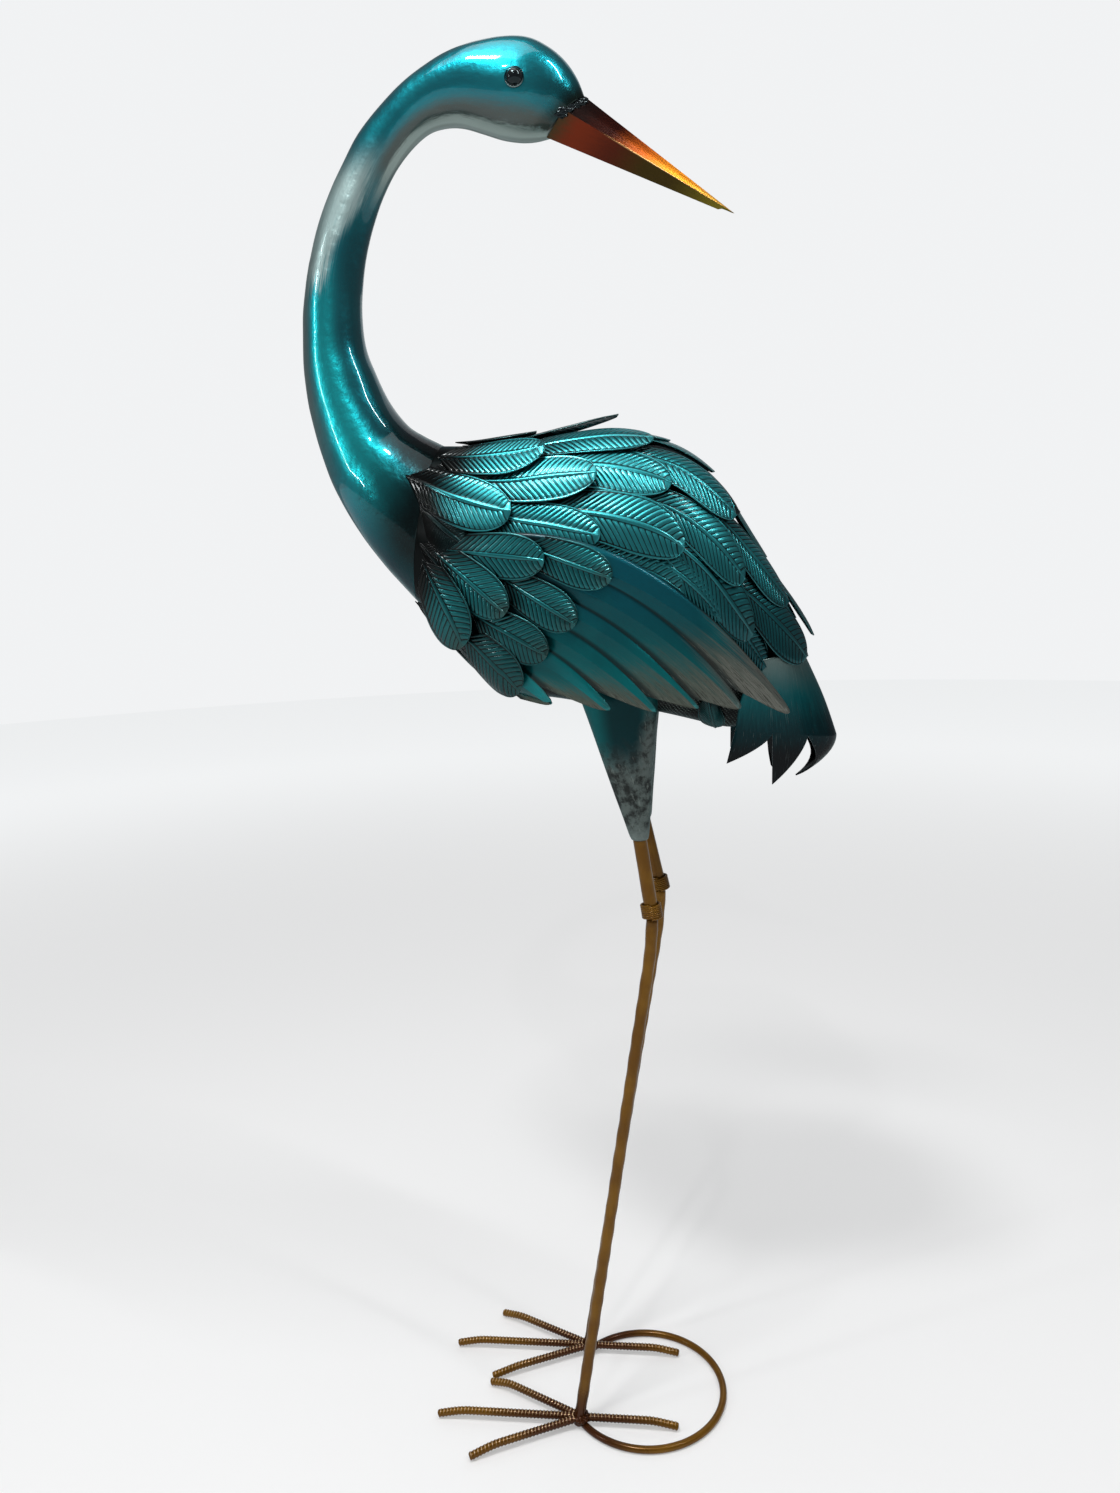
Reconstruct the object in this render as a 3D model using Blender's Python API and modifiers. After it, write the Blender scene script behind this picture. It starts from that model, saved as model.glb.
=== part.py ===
# A garden heron of painted sheet steel, standing on two rod legs with a ring behind its feet.
# Metres, +Z up. The breast faces -X, the tail +X, and the bird's left side faces -Y.

import math

import bmesh
import bpy
from mathutils import Vector

mm = 0.001

# Clearance between neighbouring pieces that are welded on the real bird
weld_gap = 0.35 * mm

# Neck and head, from the beak to the breast: outer line (crown and back of the neck),
# inner line (chin and throat) as (x, z) in millimetres, and the half width of each section
neck_outer = [
    (34.5, 1025.5), (28, 1035), (19.5, 1046), (8, 1056.5), (-5, 1064.5), (-24.5, 1068.5), (-45, 1065),
    (-64, 1059), (-84, 1048.5), (-102, 1036.5), (-122, 1019), (-140, 997.5), (-157, 970.5),
    (-171, 940), (-180.5, 903), (-184.4, 865), (-183.5, 832), (-177, 797), (-165, 760), (-147, 727.5),
    (-128.5, 702),
]
neck_inner = [
    (19.5, 1000), (17, 1001), (10, 1002.5), (1, 1002), (-9, 1001.8), (-24, 1003.5), (-40, 1009),
    (-55, 1013.5), (-68, 1014.5), (-81, 1011), (-96, 999.5), (-110, 982), (-121.5, 961),
    (-130.5, 936), (-136.8, 905), (-137, 870), (-129.5, 847), (-120, 826), (-107, 809), (-95, 800.5),
    (-88, 796.5),
]
neck_half_width = [
    13, 17, 21.5, 24.5, 26.5, 27, 26, 23, 20, 18, 17, 17, 18, 20, 21.5, 23, 26, 30, 35, 41, 44.5,
]
neck_sides = 14

# Body: top line, bottom line and half width of each section, from the breast to the rump
body_top = [
    (-80, 792), (-55, 791), (-22, 792), (15, 793), (55, 790), (93, 777),
    (122, 749), (143, 711), (160, 675), (172, 644), (176, 622),
]
body_bottom = [
    (-105, 675), (-76, 640), (-38, 608), (2, 599), (35, 594), (62, 590),
    (84, 585), (103, 580), (118, 576), (131, 574), (146, 578),
]
body_half_width = [48, 58, 64, 66, 66, 63, 57, 49, 40, 31, 21]
body_sides = 18

# Beak
beak_tip = (136, 943)
beak_lower_tip = (127.5, 946.5)
beak_half_width = 12.5 * mm

# Eyes
eye_radius = 6.3 * mm
eye_place = (-12, 1031.5)
head_half_width_at_eye = 27.2 * mm

# Wing sheets: half width of the pair along x, and where the finger feathers start and end
wing_half_width = [(-100, 50), (-60, 62), (-20, 70.5), (20, 75.5), (60, 75), (100, 69), (135, 58), (172, 49)]
wing_thickness = 1.0 * mm
wing_root_top = (-45, 722)
wing_root_bottom = (-60, 632)
wing_notches = [(152, 617), (126, 612), (98, 606), (69, 607), (34, 612), (-6, 615), (-24, 604)]
wing_tips = [(168, 590), (133, 595), (103, 597), (73, 596), (41, 598), (1, 601)]
wing_bow = 65 * mm
wing_round_until = -30 * mm
wing_flat_from = 40 * mm
wing_ridge = 2.4 * mm

# Feathers of embossed sheet
feather_thickness = 0.8 * mm
feather_ridge = 1.2 * mm
feather_clearance = 1.6 * mm
feather_layer = 1.7 * mm

# Back feathers of one side: name, tip as (section number, degrees from the top), length, width,
# heading in degrees away from the top line, how far the tip stands off, and layer
back_feathers = [
    ("nape", 2.70, 37, 84, 31, -3, 8, 1.2),
    ("neck_side", 2.17, 67, 78, 36, 4, 7, 0),
    ("shoulder", 3.66, 50.5, 92, 34, -2, 8, 0.4),
    ("back", 4.53, 22, 92, 30, -5, 8, 0),
    ("flank", 3.80, 76, 88, 32, 10, 4.6, 0),
    ("side", 5.43, 71, 96, 40, 6, 7, 0),
    ("loin", 6.32, 33, 94, 32, -1, 8, 0),
    ("hip", 6.94, 57, 92, 34, 0, 8, 0),
    ("rump", 8.25, 24, 86, 30, -10, 8.5, 0.6),
    ("tail_cover", 9.45, 38, 80, 31, -12, 13, 0),
]
crest_tip = 3.85
crest_length = 84 * mm
crest_width = 24 * mm
crest_lift = 12 * mm

# Shoulder feathers on each wing: name, tip (x, z), length, width, slope below level, layer
shoulder_feathers = [
    ("upper_front", (-1, 709), 72, 31, 8, 1.6),
    ("upper_rear", (47, 691), 66, 30, 25, 0),
    ("middle_front", (-28, 670), 68, 30, 40, 3.6),
    ("middle_rear", (22, 657), 62, 29, 33, 0.4),
    ("breast", (-51, 647), 66, 29, 61, 6.4),
    ("lower_rear", (1, 636), 62, 29, 29, 1.6),
    ("lower_front", (-21, 612), 56, 27, 41, 2.6),
]
shoulder_clearance = 2.6 * mm
shoulder_lift = 4.5 * mm

# Tail sheet: rear edge, front edge, half width from top to bottom, then its finger feathers
tail_rear = [(182, 633), (197, 599), (208, 567)]
tail_front = [(150, 627), (137, 602), (132, 577)]
tail_half_width = [41, 39, 37]
tail_thickness = 1.2 * mm
tail_finger_angles = [-90, -68, -40, 0, 40, 68, 90]
tail_finger_lengths = [26, 37, 30, 30, 37, 26]
tail_finger_sweep = [18, 17, 26, 26, 17, 18]

# Legs
hip_half_spacing = 38 * mm
thigh_top = (48, 602)
thigh_bottom = (60.5, 495)
thigh_half_length = 28.5 * mm
thigh_half_width = 17.5 * mm
thigh_end_radius = 6.6 * mm
upper_leg_radius = 5.2 * mm
knees = {"left": (68.4, 435.5), "right": (73.0, 435)}
knee_bend = (-2.7, -32)
lower_leg_radius = 4.55 * mm
leg_joint_gap = 1.0 * mm
hip_joint_gap = 0.7 * mm
foot_half_spacing = 41.5 * mm
ankle_x = -3.0 * mm
coil_wire = 1.8 * mm
coil_turns = 7
coil_clearance = 1.0 * mm
coil_rise = 5.0 * mm

# Feet and ground ring
toe_radius = 3.0 * mm
toe_height = 8.0 * mm
toe_spread = math.radians(26)
toe_lengths = {"middle": 106 * mm, "outer": 81 * mm, "inner": 77 * mm, "back": 64 * mm}
toe_tip = 15 * mm
toe_bend_length = 7 * mm
back_toe_gap = 2 * mm
ring_rod_radius = 3.0 * mm
ring_centre_x = 51 * mm

# Paint colours
teal = (0.0, 0.13, 0.15)
turquoise = (0.02, 0.33, 0.37)
dark_teal = (0.0, 0.07, 0.09)
beak_orange = (0.42, 0.20, 0.03)
ochre = (0.15, 0.085, 0.03)
eye_black = (0.006, 0.006, 0.006)


def clear_scene():
    for item in list(bpy.data.objects):
        bpy.data.objects.remove(item, do_unlink=True)


def make_collection(name):
    collection = bpy.data.collections.new(name)
    bpy.context.scene.collection.children.link(collection)
    return collection


def paint(name, colour, metallic, roughness):
    material = bpy.data.materials.new(name)
    material.use_nodes = True
    shader = material.node_tree.nodes["Principled BSDF"]
    shader.inputs["Base Color"].default_value = (*colour, 1.0)
    shader.inputs["Metallic"].default_value = metallic
    shader.inputs["Roughness"].default_value = roughness
    material.diffuse_color = (*colour, 1.0)
    return material


def add_object(name, mesh, collection, colour, metallic=0.6, roughness=0.3, smooth=False):
    item = bpy.data.objects.new(name, mesh)
    collection.objects.link(item)
    mesh.materials.append(paint(name + "_paint", colour, metallic, roughness))
    for face in mesh.polygons:
        face.use_smooth = smooth
    return item


# Value of a list of numbers or vectors at a position between its entries, on a smooth curve
def smooth_value(values, position):
    last = len(values) - 1
    if position < 0.0:
        return values[0] + (values[1] - values[0]) * position
    if position >= last:
        return values[last] + (values[last] - values[last - 1]) * (position - last)
    index = int(position)
    t = position - index
    before = values[max(index - 1, 0)]
    start = values[index]
    end = values[index + 1]
    after = values[min(index + 2, last)]
    slope_start = (end - before) * 0.5
    slope_end = (after - start) * 0.5
    bend = start * (2 * t**3 - 3 * t**2 + 1) + end * (3 * t**2 - 2 * t**3)
    return bend + slope_start * (t**3 - 2 * t**2 + t) + slope_end * (t**3 - t**2)


def side_point(pair):
    return Vector((pair[0] * mm, 0.0, pair[1] * mm))


outer_points = [side_point(pair) for pair in neck_outer]
inner_points = [side_point(pair) for pair in neck_inner]
top_points = [side_point(pair) for pair in body_top]
bottom_points = [side_point(pair) for pair in body_bottom]
half_widths = [value * mm for value in body_half_width]


# Point of the body's skin: section number, angle from the top, positive to the bird's right
def body_point(section, angle):
    top = smooth_value(top_points, section)
    bottom = smooth_value(bottom_points, section)
    width = smooth_value(half_widths, section)
    middle = (top + bottom) * 0.5
    return middle + (top - bottom) * 0.5 * math.cos(angle) + Vector((0, width * math.sin(angle), 0))


def body_slopes(section, angle):
    step = 0.01
    along = (body_point(section + step, angle) - body_point(section - step, angle)) / (2 * step)
    around = (body_point(section, angle + step) - body_point(section, angle - step)) / (2 * step)
    return along, around


def above_body(section, angle, height):
    along, around = body_slopes(section, angle)
    return body_point(section, angle) + around.cross(along).normalized() * -height


# One closed skin through rings of the same number of points, with a cap on each end
def loft(rings, name):
    shape = bmesh.new()
    rows = [[shape.verts.new(point) for point in ring] for ring in rings]
    count = len(rings[0])
    for row, following in zip(rows, rows[1:]):
        for i in range(count):
            j = (i + 1) % count
            shape.faces.new((row[i], row[j], following[j], following[i]))
    shape.faces.new(list(reversed(rows[0])))
    shape.faces.new(rows[-1])
    bmesh.ops.recalc_face_normals(shape, faces=shape.faces)
    mesh = bpy.data.meshes.new(name)
    shape.to_mesh(mesh)
    shape.free()
    return mesh


# Thin closed sheet between a lower and an upper grid of points, whose last row may be one tip
def sheet(cells, lower, upper, name):
    shape = bmesh.new()
    under = [shape.verts.new(point) for point in lower]
    over = [shape.verts.new(point) for point in upper]
    edge_use = {}
    for cell in cells:
        shape.faces.new([over[i] for i in cell])
        shape.faces.new([under[i] for i in reversed(cell)])
        for i, j in zip(cell, cell[1:] + cell[:1]):
            edge_use[(i, j)] = True
    for i, j in edge_use:
        if (j, i) not in edge_use:
            shape.faces.new((over[j], over[i], under[i], under[j]))
    bmesh.ops.recalc_face_normals(shape, faces=shape.faces)
    mesh = bpy.data.meshes.new(name)
    shape.to_mesh(mesh)
    shape.free()
    return mesh


# Rings of the neck; the last one is the flat face that meets the body
def neck_rings():
    rings = []
    for outer, inner, half_width in zip(outer_points, inner_points, neck_half_width):
        rings.append(section_ring(outer, inner, half_width * mm, neck_sides))
    upward = (top_points[0] - bottom_points[0]).normalized()
    square = Vector((upward.z, 0, -upward.x))
    last = section_ring(bottom_points[0], top_points[0], half_widths[0], neck_sides)
    rings.append([point - square * weld_gap for point in last])
    return rings


def section_ring(first, second, half_width, sides):
    ring = []
    for i in range(sides):
        angle = 2 * math.pi * i / sides
        offset = (first - second) * 0.5 * math.cos(angle)
        ring.append((first + second) * 0.5 + offset + Vector((0, half_width * math.sin(angle), 0)))
    return ring


def make_neck(collection):
    mesh = loft(neck_rings(), "neck_and_head")
    return add_object("neck_and_head", mesh, collection, teal, 0.7, 0.2, True)


def body_rings(growth):
    rings = []
    for section in range(len(body_top)):
        ring = []
        for i in range(body_sides):
            angle = 2 * math.pi * i / body_sides
            ring.append(above_body(section, angle, growth) if growth else body_point(section, angle))
        rings.append(ring)
    return rings


def make_body(collection):
    mesh = loft(body_rings(0.0), "body")
    return add_object("body", mesh, collection, dark_teal, 0.5, 0.35, True)


# Four-sided beak with a ridge along each side, the lower half ending short of the tip
def make_beak(collection):
    upward = (outer_points[0] - inner_points[0]).normalized()
    start = Vector((upward.z, 0, -upward.x)) * weld_gap
    crown = outer_points[0] + start
    chin = inner_points[0] + start
    middle = (crown + chin) * 0.5
    tip = side_point(beak_tip)
    lower_tip = side_point(beak_lower_tip)
    rings = []
    for share in (0.0, 0.25, 0.5, 0.75, 0.93, 1.0):
        above = crown.lerp(tip, share)
        ridge = middle.lerp(tip, share)
        below = chin.lerp(lower_tip, min(share / 0.93, 1.0))
        if share == 1.0:
            above = tip + upward * 0.4 * mm
            below = tip - upward * 0.4 * mm
        wide = beak_half_width * (1 - share) + 0.6 * mm
        ring = [above]
        ring.append(above.lerp(ridge, 0.55) + Vector((0, wide * 0.72, 0)))
        ring.append(ridge + Vector((0, wide, 0)))
        ring.append(ridge.lerp(below, 0.45) + Vector((0, wide * 0.62, 0)))
        ring.append(below)
        ring.append(ridge.lerp(below, 0.45) - Vector((0, wide * 0.62, 0)))
        ring.append(ridge - Vector((0, wide, 0)))
        ring.append(above.lerp(ridge, 0.55) - Vector((0, wide * 0.72, 0)))
        rings.append(ring)
    mesh = loft(rings, "beak")
    return add_object("beak", mesh, collection, beak_orange, 0.5, 0.35)


def make_eyes(collection):
    for side, name in ((-1, "left_eye"), (1, "right_eye")):
        shape = bmesh.new()
        bmesh.ops.create_uvsphere(shape, u_segments=12, v_segments=8, radius=eye_radius)
        cut = bmesh.ops.bisect_plane(
            shape, geom=shape.verts[:] + shape.edges[:] + shape.faces[:],
            plane_co=(0, side * eye_radius * 0.3, 0), plane_no=(0, -side, 0), clear_outer=True)
        rim = [part for part in cut["geom_cut"] if isinstance(part, bmesh.types.BMEdge)]
        bmesh.ops.edgeloop_fill(shape, edges=rim)
        bmesh.ops.recalc_face_normals(shape, faces=shape.faces)
        mesh = bpy.data.meshes.new(name)
        shape.to_mesh(mesh)
        shape.free()
        eye = add_object(name, mesh, collection, eye_black, 0.0, 0.1, True)
        out = head_half_width_at_eye + weld_gap - eye_radius * 0.3
        eye.location = (eye_place[0] * mm, side * out, eye_place[1] * mm)


# Outline of a feather: share of its length, share of its half width
feather_outline = [(0.0, 0.62), (0.3, 0.86), (0.62, 1.0), (0.84, 0.82), (0.95, 0.5), (1.0, 0.0)]


def feather_cells():
    cells = []
    rows = len(feather_outline) - 1
    for row in range(rows - 1):
        first = row * 3
        for column in range(2):
            i = first + column
            cells.append((i, i + 1, i + 4, i + 3))
    last = (rows - 1) * 3
    tip = rows * 3
    cells.append((last, last + 1, tip))
    cells.append((last + 1, last + 2, tip))
    return cells


# A feather on the body: its points run back from the tip, so that tips lie where they are set
def body_feather(name, collection, tip, length, width, heading, lift, rise, side, colour):
    section, angle = tip
    angle *= side
    heading *= side
    shares = [share for share, wide in feather_outline]
    middle = [(section, angle)]
    steps = 8
    for step in range(steps):
        along, around = body_slopes(section, angle)
        section -= length / steps * math.cos(heading) / along.length
        angle -= length / steps * math.sin(heading) / around.length
        middle.append((section, angle))
    middle.reverse()
    lower = []
    upper = []
    for share, wide in feather_outline:
        place = share * steps
        index = min(int(place), steps - 1)
        part = place - index
        at_section = middle[index][0] * (1 - part) + middle[index + 1][0] * part
        at_angle = middle[index][1] * (1 - part) + middle[index + 1][1] * part
        along, around = body_slopes(at_section, at_angle)
        height = feather_clearance + rise + lift * share
        columns = (0,) if wide == 0 else (-1, 0, 1)
        for column in columns:
            across = column * wide * width * 0.5
            s = at_section - across * math.sin(heading) / along.length
            a = at_angle + across * math.cos(heading) / around.length
            ridge = feather_ridge if column == 0 else 0.0
            lower.append(above_body(s, a, height + ridge))
            upper.append(above_body(s, a, height + ridge + feather_thickness))
    mesh = sheet(feather_cells(), lower, upper, name)
    return add_object(name, mesh, collection, colour, 0.6, 0.3)


def make_back_feathers(collection):
    for side, side_name in ((-1, "left"), (1, "right")):
        for label, section, degrees, length, width, heading, lift, layer in back_feathers:
            name = side_name + "_" + label + "_feather"
            body_feather(
                name, collection, (section, math.radians(degrees)), length * mm, width * mm,
                math.radians(heading), lift * mm, layer * feather_layer, side, turquoise)
    body_feather(
        "crest_feather", collection, (crest_tip, 0.0), crest_length, crest_width,
        0.0, crest_lift, 0.0, 1, dark_teal)


# Half width of the wing pair at a place seen from the side
def wing_reach(x, z):
    places = [pair[0] * mm for pair in wing_half_width]
    widths = [pair[1] * mm for pair in wing_half_width]
    index = 0
    while index < len(places) - 2 and x > places[index + 1]:
        index += 1
    share = (x - places[index]) / (places[index + 1] - places[index])
    width = smooth_value(widths, index + min(max(share, 0.0), 0.999))
    centre, half_height = body_middle(x)
    level = min(abs(z - centre) / half_height, 0.97)
    rounded = (1 - level**4) ** (1 / 4)
    flat = 1 - 0.09 * level**2
    blend = (x - wing_round_until) / (wing_flat_from - wing_round_until)
    blend = min(max(blend, 0.0), 1.0)
    return width * (rounded * (1 - blend) + flat * blend)


# Height of the body's middle line and its half height at a place along x
def body_middle(x):
    middles = [(top + bottom) * 0.5 for top, bottom in zip(top_points, bottom_points)]
    index = 0
    while index < len(middles) - 2 and x > middles[index + 1].x:
        index += 1
    span = middles[index + 1].x - middles[index].x
    share = min(max((x - middles[index].x) / span, 0.0), 1.0)
    centre = middles[index].z * (1 - share) + middles[index + 1].z * share
    first = (top_points[index] - bottom_points[index]).length
    second = (top_points[index + 1] - bottom_points[index + 1]).length
    return centre, (first * (1 - share) + second * share) * 0.5


def on_wing(x, z, height, side):
    step = 1.0 * mm
    reach = wing_reach(x, z)
    slope_x = (wing_reach(x + step, z) - wing_reach(x - step, z)) / (2 * step)
    slope_z = (wing_reach(x, z + step) - wing_reach(x, z - step)) / (2 * step)
    out = Vector((-slope_x, 1.0, -slope_z)).normalized()
    point = Vector((x, reach, z)) + out * height
    return Vector((point.x, point.y * side, point.z))


# Point of a wing line: from the root, bowed upward, to its end
def wing_line(start, end, bow, share):
    lift = Vector((0.15, 0.99)) * bow
    control = (start + end) * 0.5 + lift
    return start * (1 - share) ** 2 + control * 2 * share * (1 - share) + end * share**2


def make_wing(side, name, collection):
    root_top = Vector(wing_root_top) * mm
    root_bottom = Vector(wing_root_bottom) * mm
    notches = [Vector(pair) * mm for pair in wing_notches]
    tips = [Vector(pair) * mm for pair in wing_tips]
    columns = 2 * len(tips) + 1
    rows = 6
    lower = []
    upper = []
    for row in range(rows):
        share = row / (rows - 1)
        for column in range(columns):
            part = column / (columns - 1)
            start = root_top.lerp(root_bottom, part)
            bow = wing_bow * (1 - part)
            if column % 2 == 0:
                end = notches[column // 2]
            else:
                finger = column // 2
                end = (notches[finger] + notches[finger + 1]) * 0.5
                end = end.lerp(tips[finger], 0.25)
            place = wing_line(start, end, bow, share)
            ridge = wing_ridge * share * (1 if column % 2 else 0)
            lower.append(on_wing(place.x, place.y, ridge, side))
            upper.append(on_wing(place.x, place.y, ridge + wing_thickness, side))
    for tip in tips:
        lower.append(on_wing(tip.x, tip.y, wing_ridge, side))
        upper.append(on_wing(tip.x, tip.y, wing_ridge + wing_thickness, side))
    cells = []
    for row in range(rows - 1):
        for column in range(columns - 1):
            i = row * columns + column
            cells.append((i, i + 1, i + columns + 1, i + columns))
    last = (rows - 1) * columns
    for finger in range(len(tips)):
        left = last + 2 * finger
        tip = rows * columns + finger
        cells.append((left, left + 1, tip))
        cells.append((left + 1, left + 2, tip))
    mesh = sheet(cells, lower, upper, name)
    return add_object(name, mesh, collection, dark_teal, 0.5, 0.35)


def make_shoulder_feathers(side, side_name, collection):
    for label, tip, length, width, slope, layer in shoulder_feathers:
        name = side_name + "_" + label + "_wing_feather"
        back = Vector((-math.cos(math.radians(slope)), math.sin(math.radians(slope))))
        across = Vector((back.y, -back.x))
        lower = []
        upper = []
        for share, wide in feather_outline:
            columns = (0,) if wide == 0 else (-1, 0, 1)
            for column in columns:
                place = Vector(tip) * mm + back * length * mm * (1 - share)
                place += across * column * wide * width * mm * 0.5
                height = shoulder_clearance + layer * mm + shoulder_lift * share
                height += feather_ridge if column == 0 else 0.0
                lower.append(on_wing(place.x, place.y, height, side))
                upper.append(on_wing(place.x, place.y, height + feather_thickness, side))
        mesh = sheet(feather_cells(), lower, upper, name)
        add_object(name, mesh, collection, dark_teal, 0.6, 0.3)


# Point of the tail sheet: angle round from the rear, share of the way down, outward offset
def tail_point(angle, share, offset):
    rears = [side_point(pair) for pair in tail_rear]
    fronts = [side_point(pair) for pair in tail_front]
    widths = [value * mm for value in tail_half_width]
    rear = smooth_value(rears, share * 2)
    front = smooth_value(fronts, share * 2)
    width = smooth_value(widths, share * 2) + offset
    reach = rear - front
    length = reach.length + offset
    return front + reach.normalized() * length * math.cos(angle) + Vector((0, width * math.sin(angle), 0))


def make_tail(collection):
    angles = [math.radians(value) for value in tail_finger_angles]
    stations = []
    for first, second in zip(angles, angles[1:]):
        stations += [first, (first + second) * 0.5]
    stations.append(angles[-1])
    rows = 4
    lower = []
    upper = []
    for row in range(rows):
        share = row / (rows - 1)
        for angle in stations:
            lower.append(tail_point(angle, share, 0.0))
            upper.append(tail_point(angle, share, tail_thickness))
    columns = len(stations)
    cells = []
    for row in range(rows - 1):
        for column in range(columns - 1):
            i = row * columns + column
            cells.append((i, i + 1, i + columns + 1, i + columns))
    last = (rows - 1) * columns
    for finger, length in enumerate(tail_finger_lengths):
        angle = stations[2 * finger + 1]
        for grid, offset in ((lower, 0.0), (upper, tail_thickness)):
            tip = tail_point(angle, 1.0, offset)
            tip += Vector((-tail_finger_sweep[finger] * mm, -tip.y * 0.12, -length * mm))
            grid.append(tip)
        tip_index = rows * columns + finger
        cells.append((last + 2 * finger, last + 2 * finger + 1, tip_index))
        cells.append((last + 2 * finger + 1, last + 2 * finger + 2, tip_index))
    mesh = sheet(cells, lower, upper, "tail")
    return add_object("tail", mesh, collection, dark_teal, 0.6, 0.35)


# A hollow cone on the real bird: oval above, round below, cut to the belly's shape
def make_thigh(side, name, collection, belly):
    top = side_point(thigh_top) + Vector((0, side * hip_half_spacing, 0))
    bottom = side_point(thigh_bottom) + Vector((0, side * hip_half_spacing, 0))
    rings = []
    for share in (-0.5, 0.0, 0.5, 0.86, 0.97, 1.0):
        centre = top.lerp(bottom, share)
        taper = max(share, 0.0)
        end = 1.0 if share < 0.9 else (0.9 if share < 1.0 else 0.6)
        length = (thigh_half_length * (1 - taper) + thigh_end_radius * taper) * end
        width = (thigh_half_width * (1 - taper) + thigh_end_radius * taper) * end
        rings.append(level_ring(centre, length, width, 12))
    mesh = loft(rings, name)
    thigh = add_object(name, mesh, collection, dark_teal, 0.5, 0.4, True)
    cut = thigh.modifiers.new("belly", "BOOLEAN")
    cut.object = belly
    cut.operation = "DIFFERENCE"
    cut.solver = "EXACT"
    return thigh


def level_ring(centre, length, width, sides):
    ring = []
    for i in range(sides):
        angle = 2 * math.pi * i / sides
        ring.append(centre + Vector((length * math.cos(angle), width * math.sin(angle), 0)))
    return ring


# Straight or bent rod with flat ends, through the given points
def rod(points, radius, name, sides=10):
    rings = []
    for index, point in enumerate(points):
        before = points[max(index - 1, 0)]
        after = points[min(index + 1, len(points) - 1)]
        forward = (after - before).normalized()
        level = forward.cross(Vector((0, 0, 1)))
        if level.length < 0.05:
            level = Vector((0, 1, 0))
        level.normalize()
        upward = level.cross(forward)
        ring = []
        for i in range(sides):
            angle = 2 * math.pi * (i + 0.5) / sides
            ring.append(point + level * radius * math.cos(angle) + upward * radius * math.sin(angle))
        rings.append(ring)
    return loft(rings, name)


# Upper tube, lower rod with its slight bend below the knee, and the wire wound round the joint
def make_leg(side, side_name, collection):
    hip = side_point(thigh_bottom) + Vector((0, side * hip_half_spacing, 0))
    joint = side_point(knees[side_name]) + Vector((0, side * (hip_half_spacing + 0.4 * mm), 0))
    bend = joint + side_point(knee_bend)
    foot = Vector((ankle_x, side * foot_half_spacing, 0))
    upper_way = (hip - joint).normalized()
    lower_way = (bend - joint).normalized()
    upper = rod([hip - upper_way * (weld_gap + hip_joint_gap), joint + upper_way * leg_joint_gap],
                upper_leg_radius, "upper")
    add_object(side_name + "_upper_leg", upper, collection, ochre, 0.2, 0.4, True)
    below = foot + (foot - bend).normalized() * lower_leg_radius * 2
    path = [joint + lower_way * leg_joint_gap, bend, below]
    lower = rod(path, lower_leg_radius, "lower", 12)
    cut_plane(lower, foot, Vector((0, 0, -1)))
    add_object(side_name + "_lower_leg", lower, collection, ochre, 0.2, 0.4, True)
    make_coil(side_name, joint + upper_way * coil_rise, upper_way, collection)


# Takes away what lies beyond a plane and closes the cut with a flat face
def cut_plane(mesh, point, outward):
    shape = bmesh.new()
    shape.from_mesh(mesh)
    cut = bmesh.ops.bisect_plane(
        shape, geom=shape.verts[:] + shape.edges[:] + shape.faces[:],
        plane_co=point, plane_no=outward, clear_outer=True)
    rim = [part for part in cut["geom_cut"] if isinstance(part, bmesh.types.BMEdge)]
    if rim:
        bmesh.ops.edgeloop_fill(shape, edges=rim)
    bmesh.ops.recalc_face_normals(shape, faces=shape.faces)
    shape.to_mesh(mesh)
    shape.free()


# The wire wound round the knee, as a ribbed sleeve turned about its own axis
def make_coil(side_name, centre, axis, collection):
    inner = upper_leg_radius + coil_clearance
    height = coil_wire * coil_turns
    profile = [(inner, 0.0), (inner + coil_wire * 0.6, 0.0)]
    for turn in range(coil_turns):
        profile.append((inner + coil_wire, coil_wire * (turn + 0.5)))
        profile.append((inner + coil_wire * 0.6, coil_wire * (turn + 1)))
    profile.append((inner, height))
    shape = bmesh.new()
    points = [shape.verts.new((radius, 0, z - height / 2)) for radius, z in profile]
    for first, second in zip(points, points[1:]):
        shape.edges.new((first, second))
    shape.edges.new((points[-1], points[0]))
    mesh = bpy.data.meshes.new(side_name + "_knee_coil")
    shape.to_mesh(mesh)
    shape.free()
    coil = add_object(side_name + "_knee_coil", mesh, collection, ochre, 0.3, 0.4)
    turn = coil.modifiers.new("turned", "SCREW")
    turn.angle = 2 * math.pi
    turn.steps = 12
    turn.render_steps = 12
    turn.use_merge_vertices = True
    turn.merge_threshold = 0.00001
    turn.use_normal_calculate = True
    coil.location = centre
    coil.rotation_euler = axis.to_track_quat("Z", "Y").to_euler()


# Toe: out from the leg at its height, then bent down to the floor
def toe_points(foot, direction, start, length):
    drop = toe_height - toe_radius * 0.9
    points = [foot + direction * start + Vector((0, 0, toe_height))]
    points.append(foot + direction * (length - toe_bend_length) + Vector((0, 0, toe_height)))
    points.append(foot + direction * length + Vector((0, 0, toe_height - drop * 0.2)))
    points.append(foot + direction * (length + toe_tip) + Vector((0, 0, toe_height - drop)))
    return points


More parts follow.
